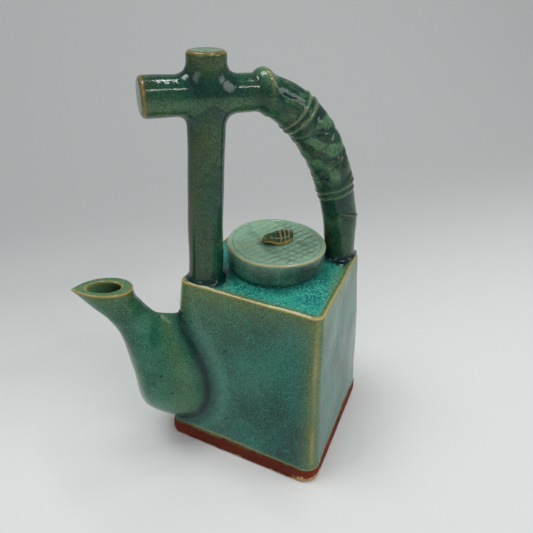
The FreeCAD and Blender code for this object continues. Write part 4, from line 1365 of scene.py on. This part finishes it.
def clay_material(name, colours):
    """Bare fired clay: matt red-brown with sandy grain, pale worn chips and a dull glaze stain."""
    material, tree, shader = new_material(name)
    place = object_place(tree)
    slow = cloud(tree, place, 60.0, 4.0, 0.6)
    sand = cloud(tree, place, 1500.0, 3.0, 0.7)
    grit = put(tree, "ShaderNodeTexVoronoi", {"Vector": place, "Scale": 650.0}).outputs["Distance"]
    worn = torn(tree, "edge", 1.9, 330.0)
    stain = torn(tree, "thin", 1.0, 180.0)
    layers = [(between(tree, slow, 0.3, 0.7), colours.clay),
              (between(tree, sand, 0.5, 0.8, 0.0, 0.35), colours.clay_sand),
              (between(tree, grit, 0.0, 0.12, 0.35, 0.0), colours.clay_grit),
              (between(tree, worn, 0.35, 0.6, 0.0, 0.9), colours.clay_chip),
              (between(tree, stain, 0.25, 0.7, 0.0, 0.8), colours.clay_stain)]
    skin = rgba([value * 0.5 for value in colours.clay])
    for amount, tint in layers:
        skin = over(tree, amount, skin, rgba(tint))
    tree.links.new(skin, shader.inputs["Base Color"])
    shader.inputs["Roughness"].default_value = 0.72
    shader.inputs["Specular IOR Level"].default_value = 0.2
    add_bump(tree, shader, calc(tree, "ADD", sand, calc(tree, "MULTIPLY", slow, 0.8)), 0.5, 0.0005)
    return material


# ---- operators --------------------------------------------------------------------------

def settings():
    """The sizes and the colours kept on the scene."""
    return bpy.context.scene.ewer_sizes, bpy.context.scene.ewer_colours


def shared_clay():
    """The bare clay, made once."""
    _, colours = settings()
    name = "bare_clay_body"
    return bpy.data.materials.get(name) or clay_material(name, colours)


def handle_glaze():
    """The handle's glaze, made once."""
    sizes, colours = settings()
    name = "handle_glaze_skin"
    look = {"slow": 60.0, "fine": 1500.0, "bump": 0.34, "cells": 1.25, "width": 0.14, "lines": 0.6,
            "tear": 0.9, "olive": 0.62, "specks": 0.35, "pits": 0.4, "pools": 0.85, "edge": 0.75,
            "gloss": 0.42, "thin": colours.handle_thin_and_painted_light, "pale": colours.handle_pale_and_painted_sheen,
            "speck": colours.handle_speck, "line": colours.handle_line, "tan": colours.handle_tan}
    return bpy.data.materials.get(name) or glaze_material(
        name, colours, sizes, colours.handle_deep, colours.handle_light, look)


class EWER_OT_walls(bpy.types.Operator):
    """Make the four glazed walls with their rolled edge"""
    bl_idname = "ewer.walls"
    bl_label = "Walls"

    def execute(self, context):
        sizes, colours = settings()
        look = {"slow": 30.0, "fine": 1450.0, "cells": 0.9, "lines": 0.2, "tear": 0.3,
                "specks": 0.6, "pits": 0.62, "edge": 0.7, "pale": colours.wall_pale,
                "speck": colours.wall_speck, "tan": colours.wall_tan}
        make_walls(sizes, glaze_material("wall_glaze_skin", colours, sizes, colours.wall_deep,
                                         colours.wall_light, look))
        return {"FINISHED"}


class EWER_OT_top(bpy.types.Operator):
    """Make the speckled top slab with the collar of the mouth"""
    bl_idname = "ewer.top"
    bl_label = "Top slab"

    def execute(self, context):
        sizes, colours = settings()
        look = {"slow": 60.0, "fine": 1100.0, "bump": 0.35, "cells": 1.2, "lines": 0.2,
                "tear": 0.4, "olive": 0.85, "specks": 0.85, "speck": colours.top_speck,
                "tan": colours.top_tan}
        make_top(sizes, glaze_material("top_glaze_skin", colours, sizes, colours.top_deep,
                                       colours.top_light, look))
        return {"FINISHED"}


class EWER_OT_foot(bpy.types.Operator):
    """Make the bare clay foot"""
    bl_idname = "ewer.foot"
    bl_label = "Foot"

    def execute(self, context):
        sizes, _ = settings()
        make_base(sizes, shared_clay())
        return {"FINISHED"}


class EWER_OT_spout(bpy.types.Operator):
    """Make the hollow horn spout"""
    bl_idname = "ewer.spout"
    bl_label = "Spout"

    def execute(self, context):
        sizes, colours = settings()
        look = {"slow": 34.0, "fine": 1450.0, "lines": 0.12, "tear": 0.4, "olive": 0.75,
                "specks": 0.5, "pits": 0.45, "iron": 0.8, "pale": colours.spout_pale,
                "speck": colours.spout_speck}
        make_spout(sizes, glaze_material("spout_glaze_skin", colours, sizes, colours.spout_deep,
                                         colours.spout_light, look))
        return {"FINISHED"}


class EWER_OT_logs(bpy.types.Operator):
    """Make the post, the crossbar and the finial"""
    bl_idname = "ewer.logs"
    bl_label = "Post, crossbar and finial"

    def execute(self, context):
        sizes, _ = settings()
        for make in (make_post, make_crossbar, make_finial):
            make(sizes, handle_glaze())
        return {"FINISHED"}


class EWER_OT_arch(bpy.types.Operator):
    """Make the bamboo arch with its rings, scars and sheath edge"""
    bl_idname = "ewer.arch"
    bl_label = "Bamboo arch"

    def execute(self, context):
        sizes, _ = settings()
        make_arch(sizes, handle_glaze())
        return {"FINISHED"}


class EWER_OT_lid(bpy.types.Operator):
    """Make the scored lid and its flange"""
    bl_idname = "ewer.lid"
    bl_label = "Lid and flange"

    def execute(self, context):
        sizes, colours = settings()
        look = {"slow": 55.0, "fine": 1500.0, "bump": 0.25, "lines": 0.15, "olive": 0.4,
                "specks": 0.35, "pits": 0.3, "pools": 0.75, "pale": colours.lid_light,
                "speck": colours.lid_speck, "tan": colours.lid_tan}
        make_lid(sizes, glaze_material("lid_glaze_skin", colours, sizes, colours.lid_shade,
                                       colours.lid_deep, look))
        make_flange(shared_clay())
        return {"FINISHED"}


class EWER_OT_knob(bpy.types.Operator):
    """Make the curled leaf on the lid"""
    bl_idname = "ewer.knob"
    bl_label = "Leaf knob"

    def execute(self, context):
        sizes, colours = settings()
        look = {"slow": 120.0, "bump": 0.2, "lines": 0.15, "olive": 0.9, "specks": 0.25,
                "pools": 0.85}
        make_knob(sizes, glaze_material("leaf_glaze_skin", colours, sizes, colours.handle_deep,
                                        colours.handle_light, look))
        return {"FINISHED"}


EWER_MIDDLE = Vector((0.0, 0.0, 0.1))
# Each lamp: name, place in metres, width and height in metres, power in watts.
LAMPS = (("overhead_panel", (-0.34, 0.1, 1.08), (0.4, 0.4), 4.2),
         ("right_panel", (0.85, -0.6, 0.62), (0.5, 0.5), 2.4),
         ("front_strip", (0.24, -0.72, 0.92), (0.5, 0.06), 2.0),
         ("top_strip", (0.22, 0.08, 1.15), (0.5, 0.06), 2.0),
         ("left_panel", (-0.9, -0.75, 0.6), (0.5, 0.6), 1.4))
AIR_COLOUR, AIR_STRENGTH = (0.92, 0.96, 1.0, 1), 0.27
CAMERA_PLACE = Vector((-0.08515, -0.19608, 0.22682))
CAMERA_RIGHT = Vector((0.9337, -0.3565, 0.0344))
CAMERA_UP = Vector((0.1577, 0.4957, 0.8541))
CAMERA_FORWARD = Vector((0.3215, 0.7920, -0.5190))
CAMERA_LENS = 33.1


def make_sweep(colours):
    """Studio sweep: a profile carried sideways, in metres.

    The profile is a level floor, a quarter circle and an upright backdrop.
    """
    front, back, bend, height, half_width = -2.4, 0.35, 0.45, 2.6, 2.6
    turn = np.linspace(0, math.pi / 2, 24)
    y = np.concatenate([np.linspace(front, back, 30, endpoint=False), back + bend * np.sin(turn),
                        [back + bend]])
    z = np.concatenate([np.zeros(30), bend - bend * np.cos(turn), [height]])
    x = np.linspace(-half_width, half_width, 24)
    points = np.stack(np.broadcast_arrays(x[None, :], y[:, None], z[:, None]), -1).reshape(-1, 3)
    rows, columns = len(y), len(x)
    first = (np.arange(rows - 1)[:, None] * columns + np.arange(columns - 1)).ravel()
    faces = np.stack([first, first + 1, first + columns + 1, first + columns], -1)
    floor = make_mesh("studio_floor", points / MM, [faces], {})
    material, tree, shader = new_material("studio_paper")
    place = object_place(tree)
    split = put(tree, "ShaderNodeSeparateXYZ", {0: place})
    # The paper is painted darker towards the back and to the left: painted shade of the lamps'
    # falloff.
    far = calc(tree, "ADD", split.outputs["Y"], split.outputs["Z"])
    to_right = between(tree, split.outputs["X"], -0.5, 1.7)
    wall = over(tree, to_right, rgba(colours.backdrop), rgba(colours.floor))
    shade = over(tree, between(tree, far, -0.02, 0.3), rgba(colours.floor), wall)
    fibre = cloud(tree, place, 900.0, 2.0, 0.5)
    shade = over(tree, between(tree, fibre, 0.4, 0.7, 0.0, 0.03), shade, (0.5, 0.5, 0.5, 1))
    tree.links.new(shade, shader.inputs["Base Color"])
    shader.inputs["Roughness"].default_value = 0.8
    shader.inputs["Specular IOR Level"].default_value = 0.2
    floor.data.materials.append(material)


def make_lamp(name, place, size, power):
    """A rectangular lamp that faces the middle of the ewer."""
    data = bpy.data.lights.new(name, "AREA")
    data.shape = "RECTANGLE"
    data.size, data.size_y = size
    data.energy = power
    lamp = bpy.data.objects.new(name, data)
    lamp.location = place
    lamp.rotation_euler = (EWER_MIDDLE - Vector(place)).to_track_quat("-Z", "Y").to_euler()
    bpy.context.scene.collection.objects.link(lamp)


def make_camera():
    """Camera to the left of the near corner, a little higher than the finial."""
    data = bpy.data.cameras.new("view")
    data.lens = CAMERA_LENS
    data.sensor_width = 36.0
    data.clip_start, data.clip_end = 0.01, 20
    camera = bpy.data.objects.new("view", data)
    turn = Matrix((CAMERA_RIGHT, CAMERA_UP, -CAMERA_FORWARD)).transposed().to_4x4()
    camera.matrix_world = Matrix.Translation(CAMERA_PLACE) @ turn
    bpy.context.scene.collection.objects.link(camera)
    bpy.context.scene.camera = camera


class EWER_OT_stage(bpy.types.Operator):
    """Make the pale sweep, the soft lamps and the camera"""
    bl_idname = "ewer.stage"
    bl_label = "Studio"

    def execute(self, context):
        _, colours = settings()
        make_sweep(colours)
        for lamp in LAMPS:
            make_lamp(*lamp)
        world = bpy.data.worlds.new("studio_air")
        world.use_nodes = True
        air = world.node_tree.nodes["Background"]
        air.inputs["Color"].default_value = AIR_COLOUR
        air.inputs["Strength"].default_value = AIR_STRENGTH
        context.scene.world = world
        context.scene.view_settings.view_transform = "Standard"
        make_camera()
        return {"FINISHED"}


OPERATORS = (EWER_OT_foot, EWER_OT_walls, EWER_OT_top, EWER_OT_spout, EWER_OT_logs, EWER_OT_arch,
             EWER_OT_lid, EWER_OT_knob, EWER_OT_stage)


class EWER_PT_panel(bpy.types.Panel):
    """Lists the ewer's pieces, sizes and colours"""
    bl_idname = "EWER_PT_panel"
    bl_label = "Sake ewer"
    bl_space_type = "VIEW_3D"
    bl_region_type = "UI"
    bl_category = "Ewer"

    def draw(self, context):
        for operator in OPERATORS:
            self.layout.operator(operator.bl_idname)
        for group in (context.scene.ewer_sizes, context.scene.ewer_colours):
            column = self.layout.column()
            for key in group.bl_rna.properties.keys():
                if key not in ("rna_type", "name"):
                    column.prop(group, key)


CLASSES = (EwerSizes, EwerColours, *OPERATORS, EWER_PT_panel)


def register():
    for item in CLASSES:
        bpy.utils.register_class(item)
    bpy.types.Scene.ewer_sizes = bpy.props.PointerProperty(type=EwerSizes)
    bpy.types.Scene.ewer_colours = bpy.props.PointerProperty(type=EwerColours)


def unregister():
    del bpy.types.Scene.ewer_colours
    del bpy.types.Scene.ewer_sizes
    for item in reversed(CLASSES):
        bpy.utils.unregister_class(item)


def main():
    """Makes every piece in order."""
    register()
    for operator in OPERATORS:
        group, name = operator.bl_idname.split(".")
        getattr(getattr(bpy.ops, group), name)()


if __name__ == "__main__":
    main()
